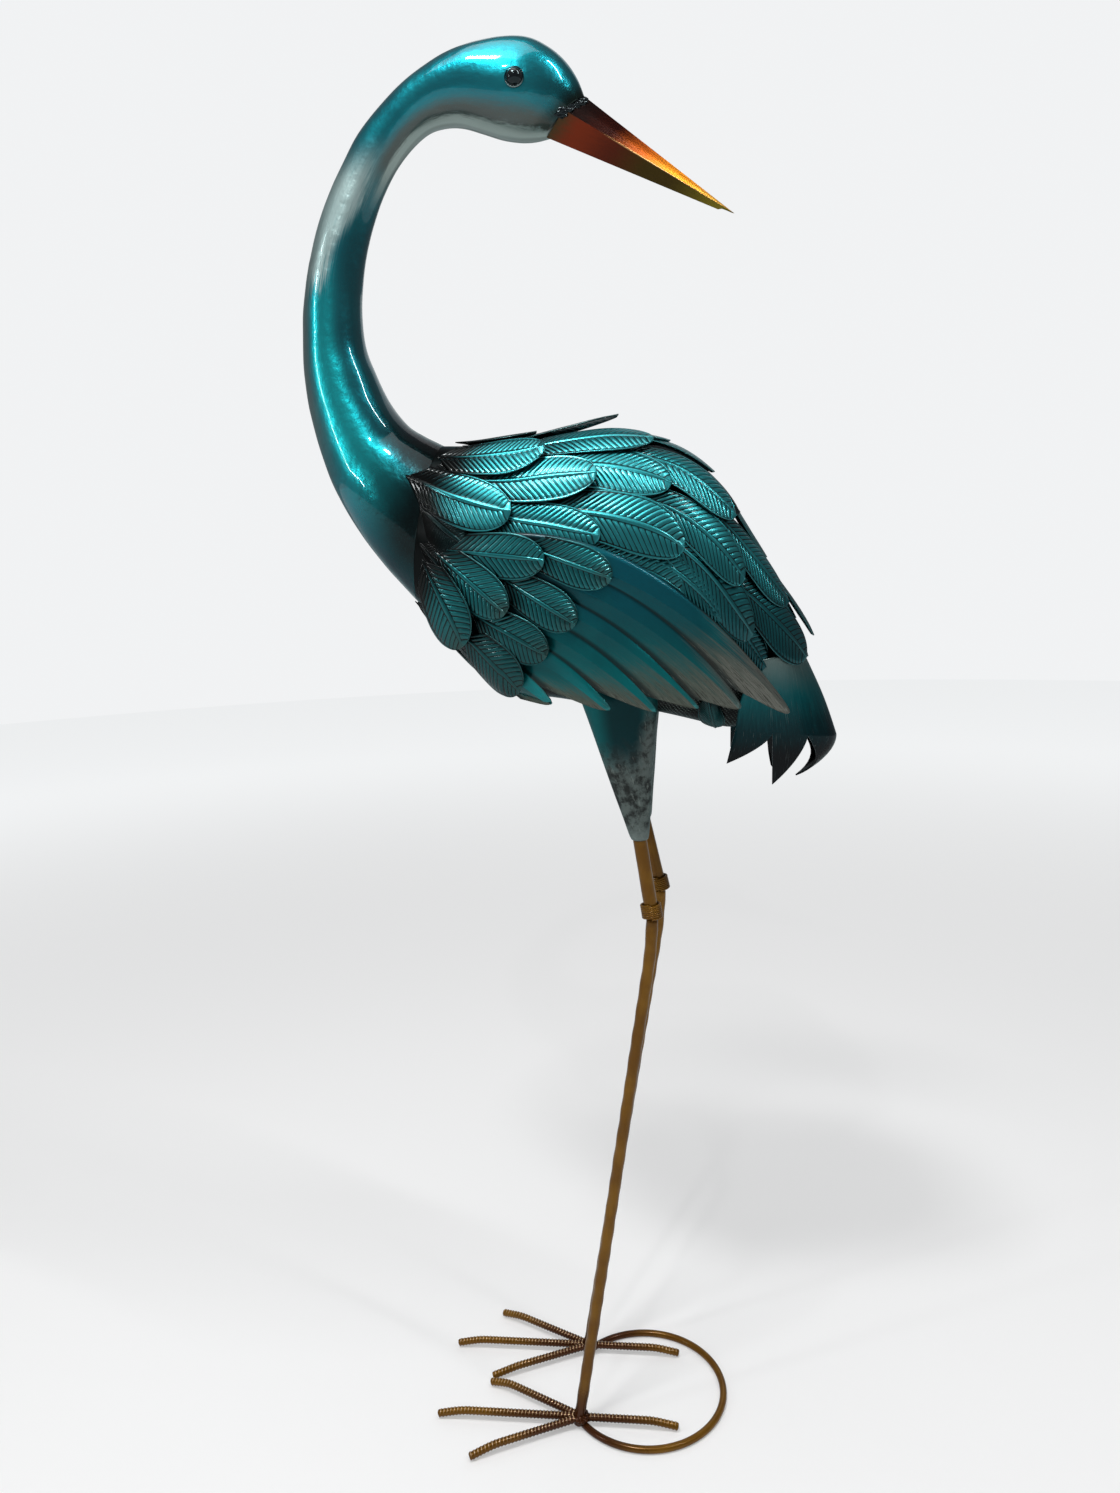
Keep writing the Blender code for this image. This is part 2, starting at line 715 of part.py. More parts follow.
def make_toes(side, side_name, collection):
    foot = Vector((0, side * foot_half_spacing, 0))
    clear = lower_leg_radius + weld_gap
    front = clear - ankle_x
    turns = {"middle": 0.0, "outer": toe_spread, "inner": -toe_spread}
    for label, turn in turns.items():
        direction = Vector((-math.cos(turn), side * math.sin(turn), 0))
        name = side_name + "_" + label + "_toe"
        start = front if label == "middle" else 0.0
        points = toe_points(foot, direction, start, toe_lengths[label])
        if label == "inner":
            points[-1] = Vector((points[-1].x, side * (toe_radius + weld_gap), points[-1].z))
        mesh = rod(points, toe_radius, name, 8)
        if label != "middle":
            beside = Vector((0, side * math.copysign(toe_radius + weld_gap, turn), 0))
            cut_plane(mesh, foot + beside, -beside)
            cut_plane(mesh, foot + Vector((-front, 0, 0)), Vector((1, 0, 0)))
        level_lowest(mesh)
        add_object(name, mesh, collection, ochre, 0.3, 0.4, True)
    name = side_name + "_back_toe"
    start = clear + ankle_x + back_toe_gap
    points = toe_points(foot, Vector((1, 0, 0)), start, toe_lengths["back"])
    mesh = rod(points, toe_radius, name, 8)
    level_lowest(mesh)
    add_object(name, mesh, collection, ochre, 0.3, 0.4, True)


# Moves the tip's lowest point onto the floor
def level_lowest(mesh):
    lowest = min(vertex.co.z for vertex in mesh.vertices)
    edge = max(abs(vertex.co.z - toe_height) for vertex in mesh.vertices)
    for vertex in mesh.vertices:
        depth = (toe_height - vertex.co.z) / edge
        if depth > toe_radius * 1.2 / edge:
            vertex.co.z -= lowest * depth


# The rod ring on the floor, from one foot round behind to the other
def make_ring(collection):
    radius = math.hypot(ring_centre_x, foot_half_spacing)
    open_angle = math.atan2(foot_half_spacing, -ring_centre_x)
    skip = (lower_leg_radius + weld_gap) / radius
    start = open_angle - skip
    steps = 34
    points = []
    for i in range(steps + 1):
        angle = start - 2 * start * i / steps
        x = ring_centre_x + radius * math.cos(angle)
        points.append(Vector((x, radius * math.sin(angle), ring_rod_radius)))
    mesh = rod(points, ring_rod_radius, "ground_ring", 8)
    lowest = min(vertex.co.z for vertex in mesh.vertices)
    for vertex in mesh.vertices:
        vertex.co.z -= lowest
    add_object("ground_ring", mesh, collection, ochre, 0.3, 0.4, True)


# Stands the finished bird on an empty, so that its outline's middle lies over the origin
def centre_on_origin(pieces, guides):
    bpy.context.view_layer.update()
    corners = [item.matrix_world @ Vector(corner) for item in pieces.objects for corner in item.bound_box]
    middle_x = (min(corner.x for corner in corners) + max(corner.x for corner in corners)) * 0.5
    stand = bpy.data.objects.new("heron_stand", None)
    pieces.objects.link(stand)
    for item in list(pieces.objects) + list(guides.objects):
        if item is not stand:
            item.parent = stand
    stand.location = (-middle_x, 0, 0)


def main():
    clear_scene()
    heron = make_collection("heron")
    guides = make_collection("guides")
    guides.hide_render = True
    make_neck(heron)
    make_beak(heron)
    make_eyes(heron)
    make_body(heron)
    belly = add_object("belly_cutter", loft(body_rings(weld_gap * 2), "belly_cutter"), guides, teal)
    belly.hide_render = True
    belly.display_type = "WIRE"
    make_back_feathers(heron)
    make_tail(heron)
    for side, side_name in ((-1, "left"), (1, "right")):
        make_wing(side, side_name + "_wing", heron)
        make_shoulder_feathers(side, side_name, heron)
        make_thigh(side, side_name + "_thigh", heron, belly)
        make_leg(side, side_name, heron)
        make_toes(side, side_name, heron)
    make_ring(heron)
    centre_on_origin(heron, guides)


main()
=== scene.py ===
# Looks of the garden heron: finer sheet-metal relief, all feathers, and the painted finishes.
import math

import bmesh
import bpy
from mathutils import Matrix, Vector, noise


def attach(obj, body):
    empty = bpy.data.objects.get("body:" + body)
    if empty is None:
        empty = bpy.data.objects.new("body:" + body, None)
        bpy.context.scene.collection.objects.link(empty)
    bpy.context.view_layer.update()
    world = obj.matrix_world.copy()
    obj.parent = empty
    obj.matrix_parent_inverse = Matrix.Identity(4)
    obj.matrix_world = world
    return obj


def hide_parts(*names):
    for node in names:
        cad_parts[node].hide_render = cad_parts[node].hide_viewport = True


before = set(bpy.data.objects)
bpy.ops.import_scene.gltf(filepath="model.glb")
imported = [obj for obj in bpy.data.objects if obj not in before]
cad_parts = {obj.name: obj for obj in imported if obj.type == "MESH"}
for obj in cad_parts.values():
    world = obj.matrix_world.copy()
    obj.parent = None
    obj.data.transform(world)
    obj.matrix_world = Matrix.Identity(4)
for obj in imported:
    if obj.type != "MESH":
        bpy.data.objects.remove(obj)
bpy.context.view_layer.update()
mm = 0.001
shiftX = -12.395 * mm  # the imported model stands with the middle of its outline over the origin
print("frame loaded:", len(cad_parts), "nodes")


# Paint nodes

# One node socket, so that shader sums are written as sums
class Value:
    def __init__(self, finish, socket):
        self.finish = finish
        self.socket = socket

    def work(self, operation, *others):
        return self.finish.node("Math", {"operation": operation}, (self, *others))

    def __add__(self, other):
        return self.work("ADD", other)

    def __sub__(self, other):
        return self.work("SUBTRACT", other)

    def __rsub__(self, other):
        return self.finish.node("Math", {"operation": "SUBTRACT"}, (other, self))

    def __mul__(self, other):
        return self.work("MULTIPLY", other)

    def __pow__(self, other):
        return self.work("POWER", other)

    def __abs__(self):
        return self.work("ABSOLUTE")

    __radd__ = __add__
    __rmul__ = __mul__

    def rise(self, low, high):
        # 0 below low, 1 above high, smooth between; falls instead where low is above high
        return self.finish.node("MapRange", {"interpolation_type": "SMOOTHSTEP"}, (self, low, high, 0.0, 1.0))


edgeTint = (0.30, 0.42, 0.44, 1)  # metal paint seen at a low angle stays dark


# A painted finish: its shader, its own named colours, and one method that adds every node
class Finish:
    def __init__(self, name, colours, **fixed):
        self.material = bpy.data.materials.new(name)
        self.material.use_nodes = True
        self.tree = self.material.node_tree
        self.shader = self.tree.nodes["Principled BSDF"]
        self.colours = colours
        self.colour = None
        self.shader.inputs["Specular Tint"].default_value = edgeTint
        for key, value in fixed.items():
            self.shader.inputs[key.replace("_", " ")].default_value = value
        self.spot = self.node("TexCoord", output="Object")
        way = self.node("UVMap", {"uv_map": "UVMap"})
        self.x, self.y, self.z = (
            self.node("SeparateXYZ", sockets=(self.spot,), output=axis) for axis in range(3))
        self.u, self.v = (self.node("SeparateXYZ", sockets=(way,), output=axis) for axis in range(2))

    def node(self, kind, settings=None, sockets=(), output=0):
        made = self.tree.nodes.new("ShaderNode" + kind)
        for key, value in (settings or {}).items():
            setattr(made, key, value)
        given = sockets.items() if isinstance(sockets, dict) else enumerate(sockets)
        for key, value in given:
            if isinstance(value, Value):
                self.tree.links.new(value.socket, made.inputs[key])
            else:
                made.inputs[key].default_value = value
        return Value(self, made.outputs[output])

    # Mixes two colours, each given by its name or as a socket
    def mix(self, share, first, second):
        first, second = (
            (*self.colours[side], 1.0) if isinstance(side, str) else side for side in (first, second))
        return self.node("Mix", {"data_type": "RGBA"}, {0: share, 6: first, 7: second}, 2)

    # Lays one more colour over the paint so far
    def coat(self, share, colour):
        self.colour = self.mix(share, self.colour, colour)

    def grain(self, scale, detail=2.0, stretch=None, roughness=0.5):
        place = self.node("CombineXYZ", sockets=stretch) if stretch else self.spot
        return self.node("TexNoise", sockets={
            "Vector": place, "Scale": scale, "Detail": detail, "Roughness": roughness})

    def attribute(self, name):
        return self.node("Attribute", {"attribute_name": name}, output="Fac")

    def bump(self, height, distance, strength=1.0):
        return self.node("Bump", sockets={"Height": height, "Distance": distance, "Strength": strength})

    def put(self, **varied):
        for key, value in varied.items():
            self.tree.links.new(value.socket, self.shader.inputs[key.replace("_", " ")])
        return self.material

    def finished(self, roughness, dents, **varied):
        return self.put(Base_Color=self.colour, Roughness=roughness, Normal=dents, **varied)


# Studio

studio = {
    "cameraPlace": (0.083425, -0.80655, 0.69018),
    "lookDown": 0.1577,
    "lookLeft": 0.1201,
    "roll": -0.0390,
    "lens": 25.41,
    "floorRadius": 6.0,
    "floorColour": (0.60, 0.60, 0.60, 1),
    "floorGlowNear": (0.31, 0.31, 0.31),
    "floorGlowFar": (0.675, 0.685, 0.69),
    "glowStart": 0.8,
    "glowEnd": 3.6,
    "wallColour": (0.88, 0.89, 0.90, 1),
    "worldColour": (0.96, 0.98, 1.0, 1),
    "worldStrength": 0.27,
    "viewTransform": "Standard",
}

# name, place, aimed at, width, height, power in watts
softLights = [
    ("ceilingLight", (-0.2, -0.35, 2.6), (0.0, 0.0, 0.75), 1.3, 1.3, 11),
    ("overheadLight", (-0.40, -0.80, 2.30), (0.0, 0.0, 0.75), 0.40, 0.17, 20),
    ("aisleLight", (0.95, -0.45, 2.0), (0.0, 0.0, 0.75), 0.045, 0.8, 8),
    ("windowLight", (-1.6, -0.9, 1.3), (-0.1, 0.0, 0.8), 0.022, 0.9, 5),
    ("bulbLight", (-0.15, -1.25, 1.95), (0.0, 0.0, 0.75), 0.05, 0.05, 3.2),
    ("backLight", (0.3, 1.8, 2.0), (0.0, 0.0, 0.7), 1.6, 1.6, 6),
]


def makeCamera():
    down, left, roll = studio["lookDown"], studio["lookLeft"], studio["roll"]
    level = math.cos(down)
    forward = Vector((-math.sin(left) * level, math.cos(left) * level, -math.sin(down)))
    across = Vector((math.cos(left), math.sin(left), 0))
    upright = across.cross(forward)
    right = across * math.cos(roll) + upright * math.sin(roll)
    upward = upright * math.cos(roll) - across * math.sin(roll)
    data = bpy.data.cameras.new("camera")
    data.lens = studio["lens"]
    camera = bpy.data.objects.new("camera", data)
    turn = Matrix((right, upward, -forward)).transposed().to_4x4()
    camera.matrix_world = Matrix.Translation(studio["cameraPlace"]) @ turn
    bpy.context.scene.collection.objects.link(camera)
    bpy.context.scene.camera = camera


def makeStudio():
    makeCamera()
    for name, place, aim, width, height, power in softLights:
        data = bpy.data.lights.new(name, "AREA")
        data.shape = "RECTANGLE"
        data.size = width
        data.size_y = height
        data.energy = power
        lamp = bpy.data.objects.new(name, data)
        lamp.location = place
        lamp.rotation_euler = (Vector(aim) - Vector(place)).to_track_quat("-Z", "Y").to_euler()
        bpy.context.scene.collection.objects.link(lamp)
    world = bpy.data.worlds.new("studioWorld")
    world.use_nodes = True
    sky = world.node_tree.nodes["Background"]
    sky.inputs["Color"].default_value = studio["worldColour"]
    sky.inputs["Strength"].default_value = studio["worldStrength"]
    bpy.context.scene.world = world
    bpy.context.scene.view_settings.view_transform = studio["viewTransform"]
    shape = bmesh.new()
    bmesh.ops.create_circle(shape, cap_ends=True, segments=96, radius=studio["floorRadius"])
    bmesh.ops.translate(shape, verts=shape.verts, vec=(0, 0, -0.1 * mm))
    paint = stagePaint("floorPaint", studio["floorColour"])
    distance = (paint.x * paint.x + paint.y * paint.y) ** 0.5
    far = distance.rise(studio["glowStart"], studio["glowEnd"])
    glow = paint.mix(far, "floorGlowNear", "floorGlowFar")
    addStage("floor", shape, paint.put(Emission_Color=glow))
    # round backdrop that only the camera sees, so that it doesn't light the glossy metal
    shape = bmesh.new()
    bmesh.ops.create_uvsphere(shape, u_segments=96, v_segments=48, radius=studio["floorRadius"])
    paint = stagePaint("backdropPaint", (0, 0, 0, 1))
    paint.shader.inputs["Emission Color"].default_value = studio["wallColour"]
    backdrop = addStage("backdrop", shape, paint.material)
    backdrop.visible_diffuse = False
    backdrop.visible_glossy = False
    backdrop.visible_shadow = False


def stagePaint(name, colour):
    return Finish(
        name, studio, Base_Color=colour, Roughness=0.9, Specular_IOR_Level=0.0, Emission_Strength=1.0)


def addStage(name, shape, material):
    mesh = bpy.data.meshes.new(name)
    shape.to_mesh(mesh)
    shape.free()
    stage = bpy.data.objects.new(name, mesh)
    bpy.context.scene.collection.objects.link(stage)
    mesh.materials.append(material)
    return stage


makeStudio()
print("studio set")


# Finishes

black = (0.003, 0.004, 0.004)

# Neck and head: glossy metallic teal, a painted highlight band along the flanks, pearl patch outside, painted
# shade inside the curve, pale throat
neckColours = {
    "deepTeal": (0.003, 0.18, 0.225),
    "teal": (0.006, 0.26, 0.31),
    "lowTeal": (0.0, 0.045, 0.055),
    "paintedHighlightTeal": (0.006, 0.40, 0.43),
    "paintedShadeInsideCurve": (0.0, 0.012, 0.016),
    "black": black,
    "pearl": (0.42, 0.56, 0.55),
    "outerGrey": (0.24, 0.29, 0.275),
    "throatBrown": (0.085, 0.062, 0.044),
    "throatPale": (0.30, 0.38, 0.355),
    "snoutGreen": (0.004, 0.013, 0.010),
    "fleck": (0.10, 0.40, 0.42),
    "seam": (0.03, 0.07, 0.075),
}


def neckFinish():
    paint = Finish("neckTeal", neckColours, Metallic=0.97, Coat_Roughness=0.05)
    outward = (paint.v * (2 * math.pi)).work("COSINE")
    streak = paint.grain(1.0, 5.0, (paint.u * 34, paint.v * 110, 0.0), 0.62)
    cloud = paint.grain(22.0, 3.0)
    speck = paint.grain(1600.0, 1.0)
    paint.colour = paint.mix(cloud.rise(0.35, 0.7), "deepTeal", "teal")
    paint.coat(paint.z.rise(0.76, 0.66) * 0.7, "lowTeal")
    # painted highlight: a brighter teal band along the flanks of the neck, standing in for the light it
    # reflects
    middle = paint.z.rise(0.94, 0.86) * paint.z.rise(0.70, 0.78)
    middle = middle * outward.rise(0.75, 0.15) * outward.rise(-0.6, -0.1)
    paint.coat(middle * 0.85, "paintedHighlightTeal")
    # painted shade along the inside of the curve, standing in for the dark surroundings it reflects; black
    # overspray where the neck meets the feathers
    inside = outward.rise(-0.05, -0.75) * paint.z.rise(1.01, 0.95)
    paint.coat(inside * (paint.z.rise(0.86, 0.78) * 0.35 + 0.62), "paintedShadeInsideCurve")
    base = (paint.x - paint.z * 0.55 + cloud * 0.03).rise(-0.585, -0.50)
    paint.coat(base * (outward.rise(0.95, 0.35) * 0.25 + 0.72), "black")
    # pearl patch, brushed along the neck
    torn = paint.z + (streak - 0.5) * 0.05
    patch = torn.rise(0.897, 0.925) * paint.z.rise(1.015, 0.965)
    patch = patch * (outward - paint.z.rise(0.965, 0.925) * 0.5 + streak * 0.4).rise(-0.65, -0.05)
    paint.coat(patch.rise(0.0, 0.9) * (streak * 0.7 + 0.5).rise(0.3, 0.9), "pearl")
    edge = (outward + streak * 0.3).rise(0.55, 1.0) * torn.rise(0.97, 0.90) * paint.z.rise(0.74, 0.84)
    paint.coat(edge * 0.8, "outerGrey")
    # throat: brownish band, then a pale stripe with darker edges
    head = paint.z.rise(0.955, 0.995) * paint.x.rise(-0.175, -0.12)
    ragged = outward + (streak - 0.5) * 0.22
    paint.coat(ragged.rise(-0.30, -0.72) * head * 0.8, "throatBrown")
    stripe = ragged.rise(-0.80, -0.90) * (outward.rise(-0.975, -1.0) * -0.5 + 1.0)
    paint.coat(stripe * head * 0.9, "throatPale")
    # dark green in front, along the slanting seam with the beak
    snout = paint.x - paint.z * 1.18 + 1.188 + (streak - 0.5) * 0.008
    paint.coat(snout.rise(-0.016, -0.001) * paint.z.rise(1.000, 1.012), "snoutGreen")
    paint.coat(speck.rise(0.55, 0.8) * 0.10, "fleck")
    paint.coat(paint.attribute("relief") * 0.5, "seam")
    throat = outward.rise(-0.3, -0.7) * head
    rough = streak * 0.10 + 0.27 + patch * 0.06 + throat * 0.14 - base * 0.10
    dents = paint.bump(cloud * 0.6 + paint.grain(150.0, 3.0) * 0.5, 1.0 * mm, 0.7)
    return paint.finished(rough, dents, Coat_Weight=base * -0.40 + 0.65)


# Beak: black at the root, dark red to orange to gold above the ridge, brown to olive below it
beakColours = {
    "darkRed": (0.016, 0.003, 0.002),
    "orange": (0.42, 0.085, 0.010),
    "amber": (0.72, 0.25, 0.018),
    "gold": (0.80, 0.44, 0.075),
    "brown": (0.05, 0.035, 0.015),
    "rust": (0.15, 0.022, 0.007),
    "oxblood": (0.070, 0.012, 0.005),
    "darkOlive": (0.040, 0.026, 0.004),
    "olive": (0.17, 0.135, 0.012),
    "ridge": (0.85, 0.50, 0.20),
    "root": (0.006, 0.004, 0.004),
}


def beakFinish():
    paint = Finish("beakGold", beakColours, Metallic=0.95, Coat_Weight=0.1, Coat_Roughness=0.2,
                   Specular_Tint=(0.5, 0.2, 0.1, 1))
    streak = paint.grain(1.0, 2.0, (paint.u * 12, paint.v * 40, 0.0), 0.5)
    along = paint.u + (streak - 0.5) * 0.07
    above = paint.mix(along.rise(0.25, 0.50), "darkRed", "orange")
    above = paint.mix(along.rise(0.42, 0.66), above, "amber")
    above = paint.mix(along.rise(0.68, 0.95), above, "gold")
    below = paint.mix(along.rise(0.0, 0.12), "brown", "rust")
    below = paint.mix(along.rise(0.12, 0.34), below, "oxblood")
    below = paint.mix(along.rise(0.30, 0.52), below, "darkOlive")
    below = paint.mix(along.rise(0.62, 1.0), below, "olive")
    around = (paint.v * (2 * math.pi)).work("COSINE")
    upper = around.rise(-0.03, 0.03)
    paint.colour = paint.mix(upper, below, above)
    paint.coat(abs(around).rise(0.09, 0.03) * along.rise(0.2, 0.5) * 0.7, "ridge")
    paint.coat((along + (streak - 0.5) * 0.1).rise(0.20, 0.06) * upper, "root")
    return paint.put(Base_Color=paint.colour, Roughness=streak * 0.05 + 0.35)


# Eye beads and weld lumps
def eyeFinish():
    colours = {"deep": (0.002, 0.002, 0.003), "soft": (0.006, 0.006, 0.007)}
    paint = Finish("eyeBlack", colours, Roughness=0.12, Specular_IOR_Level=0.8)
    return paint.put(Base_Color=paint.mix(paint.grain(900.0).rise(0.4, 0.7), "deep", "soft"))


# Rims of the eyes: teal above, pale below
def ringFinish():
    colours = {"above": (0.0, 0.02, 0.025), "below": (0.20, 0.27, 0.27)}
    paint = Finish("eyeRing", colours, Metallic=0.8, Roughness=0.3, Coat_Weight=0.3)
    return paint.put(Base_Color=paint.mix(paint.z.rise(1.031, 1.025), "above", "below"))


# Embossed feathers: candy paint on the ridges, black left in the grooves, painted shade at the roots where
# the feathers overlap; deep painted shade below the height low, bright painted light from above over the
# height high
featherPaints = {
    "back": {
        "name": "featherTurquoise", "paintedLight": (0.026, 0.270, 0.295), "deep": (0.003, 0.055, 0.064),
        "low": 0.62, "high": 0.75, "tip": (0.07, 0.15, 0.15), "tipShare": 0.35},
    "shoulder": {
        "name": "featherTeal", "paintedLight": (0.011, 0.150, 0.162), "deep": (0.003, 0.046, 0.048),
        "low": 0.60, "high": 0.72, "tip": (0.040, 0.042, 0.028), "tipShare": 0.6},
    "dark": {
        "name": "featherBlack", "paintedLight": (0.006, 0.028, 0.030), "deep": (0.0, 0.012, 0.013),
        "low": 0.66, "high": 0.80, "tip": (0.05, 0.06, 0.055), "tipShare": 0.4},
}


def featherFinish(own):
    colours = {"rim": (0.09, 0.20, 0.20), "black": black, **own}
    paint = Finish(own["name"], colours, Metallic=0.97, Coat_Weight=0.3, Coat_Roughness=0.14)
    relief = paint.attribute("relief")
    cloud = paint.grain(26.0, 3.0)
    fine = paint.grain(420.0, 3.0, roughness=0.6)
    # painted light and shade: the deep colour low on the body, the bright colour high on it, as if lit from
    # above
    paint.colour = paint.mix((paint.z + (cloud - 0.5) * 0.05).rise(own["low"], own["high"]), "deep", "paintedLight")
    rim = abs(paint.v - 0.5).rise(0.46, 0.49) + paint.u.rise(0.975, 0.985)
    paint.coat(rim.rise(0.0, 1.0) * 0.3, "rim")
    paint.coat(paint.u.rise(0.55, 1.0) * cloud.rise(0.40, 0.65) * own["tipShare"], "tip")
    # glossy black towards the neck, from spraying it
    neckward = (paint.x - paint.z * 0.35 + (cloud - 0.5) * 0.03).rise(-0.30, -0.385)
    # painted shade at the roots, where the next feather overlaps them, added to the black spray towards the
    # neck
    sprayAndRootShade = paint.u.rise(0.5, 0.0) * 0.75 + neckward
    groove = relief.rise(0.66, 0.15) * (fine * 0.4 + 0.75)
    paint.coat((groove * 0.97 + sprayAndRootShade * (1.35 - relief * 0.5)).rise(0.0, 1.1), "black")
    rough = fine * 0.08 + 0.29 + relief.rise(0.6, 0.1) * 0.10 - neckward * 0.17
    return paint.finished(rough, paint.bump(fine, 0.12 * mm, 0.1))


# Wing: teal upper facets, grey-beige lower facets and tips, drawn out along the fingers; painted light
# towards the top and towards the front fingers' ends, painted shade on the lower facets
wingColours = {
    "lowTeal": (0.004, 0.080, 0.085),
    "upperLitTeal": (0.004, 0.105, 0.145),
    "cloud": (0.006, 0.16, 0.17),
    "paintedHighlightTeal": (0.003, 0.21, 0.22),
    "lowerFacetShade": (0.0, 0.040, 0.042),
    "beige": (0.082, 0.082, 0.060),
    "tip": (0.15, 0.155, 0.135),
    "groove": (0.001, 0.008, 0.009),
    "darkScratch": (0.022, 0.022, 0.018),
    "paleScratch": (0.26, 0.27, 0.24),
    "black": black,
}


def wingFinish():
    paint = Finish("wingTeal", wingColours, Metallic=0.9, Coat_Weight=0.2, Coat_Roughness=0.15)
    phase = (paint.v * len(wing["tips"])).work("FRACT")
    streak = paint.grain(1.0, 5.0, (paint.u * 9, paint.v * 130, paint.y * 3), 0.65)
    scratch = paint.grain(1.0, 3.0, (paint.u * 16, paint.v * 420, 0.0), 0.7)
    cloud = paint.grain(20.0, 3.0)
    # lighter and bluer teal towards the top: bluer paint, and painted light from above
    paint.colour = paint.mix(paint.z.rise(0.60, 0.72), "lowTeal", "upperLitTeal")
    paint.coat(cloud.rise(0.45, 0.7) * 0.5, "cloud")
    # painted highlight towards the ends of the front fingers
    paint.coat(paint.u.rise(0.55, 0.92) * paint.v.rise(0.12, 0.4) * 0.75, "paintedHighlightTeal")
    rearward = paint.v.rise(0.45, 0.02)
    lower = phase.rise(0.48, 0.52)
    worn = paint.u + (streak - 0.5) * 0.35
    greyed = lower * (worn + rearward * 0.06).rise(0.70, 0.98)
    # painted shade: the downward facet of each finger is darkened
    paint.coat(lower * 0.55, "lowerFacetShade")
    paint.coat(greyed * 0.85, "beige")
    tip = (worn + rearward * 0.16).rise(0.88, 1.08)
    paint.coat(tip * (rearward * 0.65 + 0.3), "tip")
    shadow = phase.rise(0.88, 0.99) + phase.rise(0.10, 0.0) * 0.7
    paint.coat(shadow.rise(0.0, 1.0) * 0.85, "groove")
    paint.coat(scratch.rise(0.53, 0.63) * (tip + greyed * 0.6) * 0.85, "darkScratch")
    paint.coat(scratch.rise(0.42, 0.30) * (tip + greyed * 0.5) * 0.4, "paleScratch")
    paint.coat(paint.u.rise(0.42, 0.15) * 0.9, "black")
    dents = paint.bump(streak + scratch * 0.4, 0.25 * mm, 0.6)
    return paint.finished(streak * 0.2 + 0.27 + greyed * 0.14, dents)


# Tail: grey brushed top, dark teal, then black tips, with fine scratches running down
tailColours = {
    "darkTeal": (0.0, 0.022, 0.027),
    "teal": (0.0, 0.085, 0.095),
    "grey": (0.12, 0.16, 0.15),
    "tip": (0.004, 0.005, 0.006),
    "streak": (0.02, 0.10, 0.105),
    "scratch": (0.19, 0.25, 0.24),
}


def tailFinish():
    paint = Finish("tailTeal", tailColours, Metallic=0.92, Coat_Weight=0.2, Coat_Roughness=0.15)
    streak = paint.grain(1.0, 5.0, (paint.u * 5, paint.v * 120, 0.0), 0.65)
    scratch = paint.grain(1.0, 2.0, (paint.u * 4, paint.v * 330, 0.0), 0.5)
    height = paint.z + (streak - 0.5) * 0.02
    paint.colour = paint.mix(height.rise(0.575, 0.605), "darkTeal", "teal")
    paint.coat(height.rise(0.596, 0.635), "grey")
    paint.coat(height.rise(0.578, 0.555), "tip")
    paint.coat(streak.rise(0.45, 0.75) * height.rise(0.565, 0.60) * 0.35, "streak")
    paint.coat(scratch.rise(0.65, 0.75) * 0.6, "scratch")
    return paint.finished(streak * 0.2 + 0.3, paint.bump(streak, 0.2 * mm, 0.5))


# Body under the feathers: nearly black, its belly pressed with crossing fine lines
def bellyFinish():
    colours = {"black": black, "line": (0.11, 0.13, 0.115)}
    paint = Finish("bellyDark", colours, Metallic=0.95, Coat_Weight=0.1, Coat_Roughness=0.2)
    cloud = paint.grain(60.0, 4.0)
    first = ((paint.x * 0.8 + paint.z * 0.6 + (cloud - 0.5) * 0.004) * 2900.0).work("SINE")
    second = ((paint.x * 0.6 - paint.z * 0.9 + paint.y * 0.5) * 2400.0).work("SINE")
    hatch = first.rise(-0.2, 0.9) * second.rise(-0.7, 0.5)
    belly = paint.z.rise(0.66, 0.60) * paint.x.rise(-0.01, 0.04)
    paint.colour = paint.mix(belly * hatch * cloud.rise(0.3, 0.6) * 0.9, "black", "line")
    dents = paint.bump(hatch * belly + cloud, 0.4 * mm, 0.8)
    return paint.finished(cloud * 0.2 + 0.22 + belly * 0.15, dents)


# Thighs: dark teal above, mottled grey below, with short brush strokes between
thighColours = {
    "darkTeal": (0.0, 0.024, 0.028),
    "teal": (0.0, 0.065, 0.070),
    "frontTeal": (0.0, 0.115, 0.12),
    "rearTeal": (0.0, 0.13, 0.13),
    "darkGrey": (0.018, 0.021, 0.020),
    "grey": (0.10, 0.125, 0.118),
    "stroke": (0.20, 0.24, 0.22),
    "lowest": (0.17, 0.21, 0.20),
}


def thighFinish():
    paint = Finish("thighTeal", thighColours, Metallic=0.85, Coat_Weight=0.15, Coat_Roughness=0.25)
    blotch = paint.grain(105.0, 4.0, roughness=0.65)
    across = paint.x + paint.z * 0.117 - 0.1063
    stroke = paint.grain(1.0, 4.0, (paint.x * 500 + paint.z * 150, paint.y * 500, paint.z * 90), 0.7)
    height = paint.z + (blotch - 0.5) * 0.045 + across.rise(0.004, 0.022) * -0.034
    teal = paint.mix(paint.grain(30.0, 3.0).rise(0.4, 0.65), "darkTeal", "teal")
    teal = paint.mix(across.rise(-0.006, -0.022) * 0.8, teal, "frontTeal")
    teal = paint.mix(across.rise(0.012, 0.024) * 0.6, teal, "rearTeal")
    grey = paint.mix(blotch.rise(0.38, 0.6), "darkGrey", "grey")
    grey = paint.mix(stroke.rise(0.55, 0.72) * 0.6, grey, "stroke")
    grey = paint.mix(paint.z.rise(0.51, 0.496) * 0.7, grey, "lowest")
    paint.colour = paint.mix(height.rise(0.572, 0.545), teal, grey)
    dents = paint.bump(blotch + stroke * 0.3, 0.3 * mm, 0.5)
    return paint.finished(blotch * 0.2 + 0.38, dents)


# Legs, coils, toes and ring: semi-gloss ochre brown, darker round the feet's welds, with painted highlights
# on the toes' ribs
legColours = {
    "brown": (0.120, 0.050, 0.003),
    "ochre": (0.172, 0.079, 0.006),
    "hub": (0.045, 0.011, 0.003),
    "rib": (0.58, 0.40, 0.22),
    "pit": (0.03, 0.013, 0.004),
}


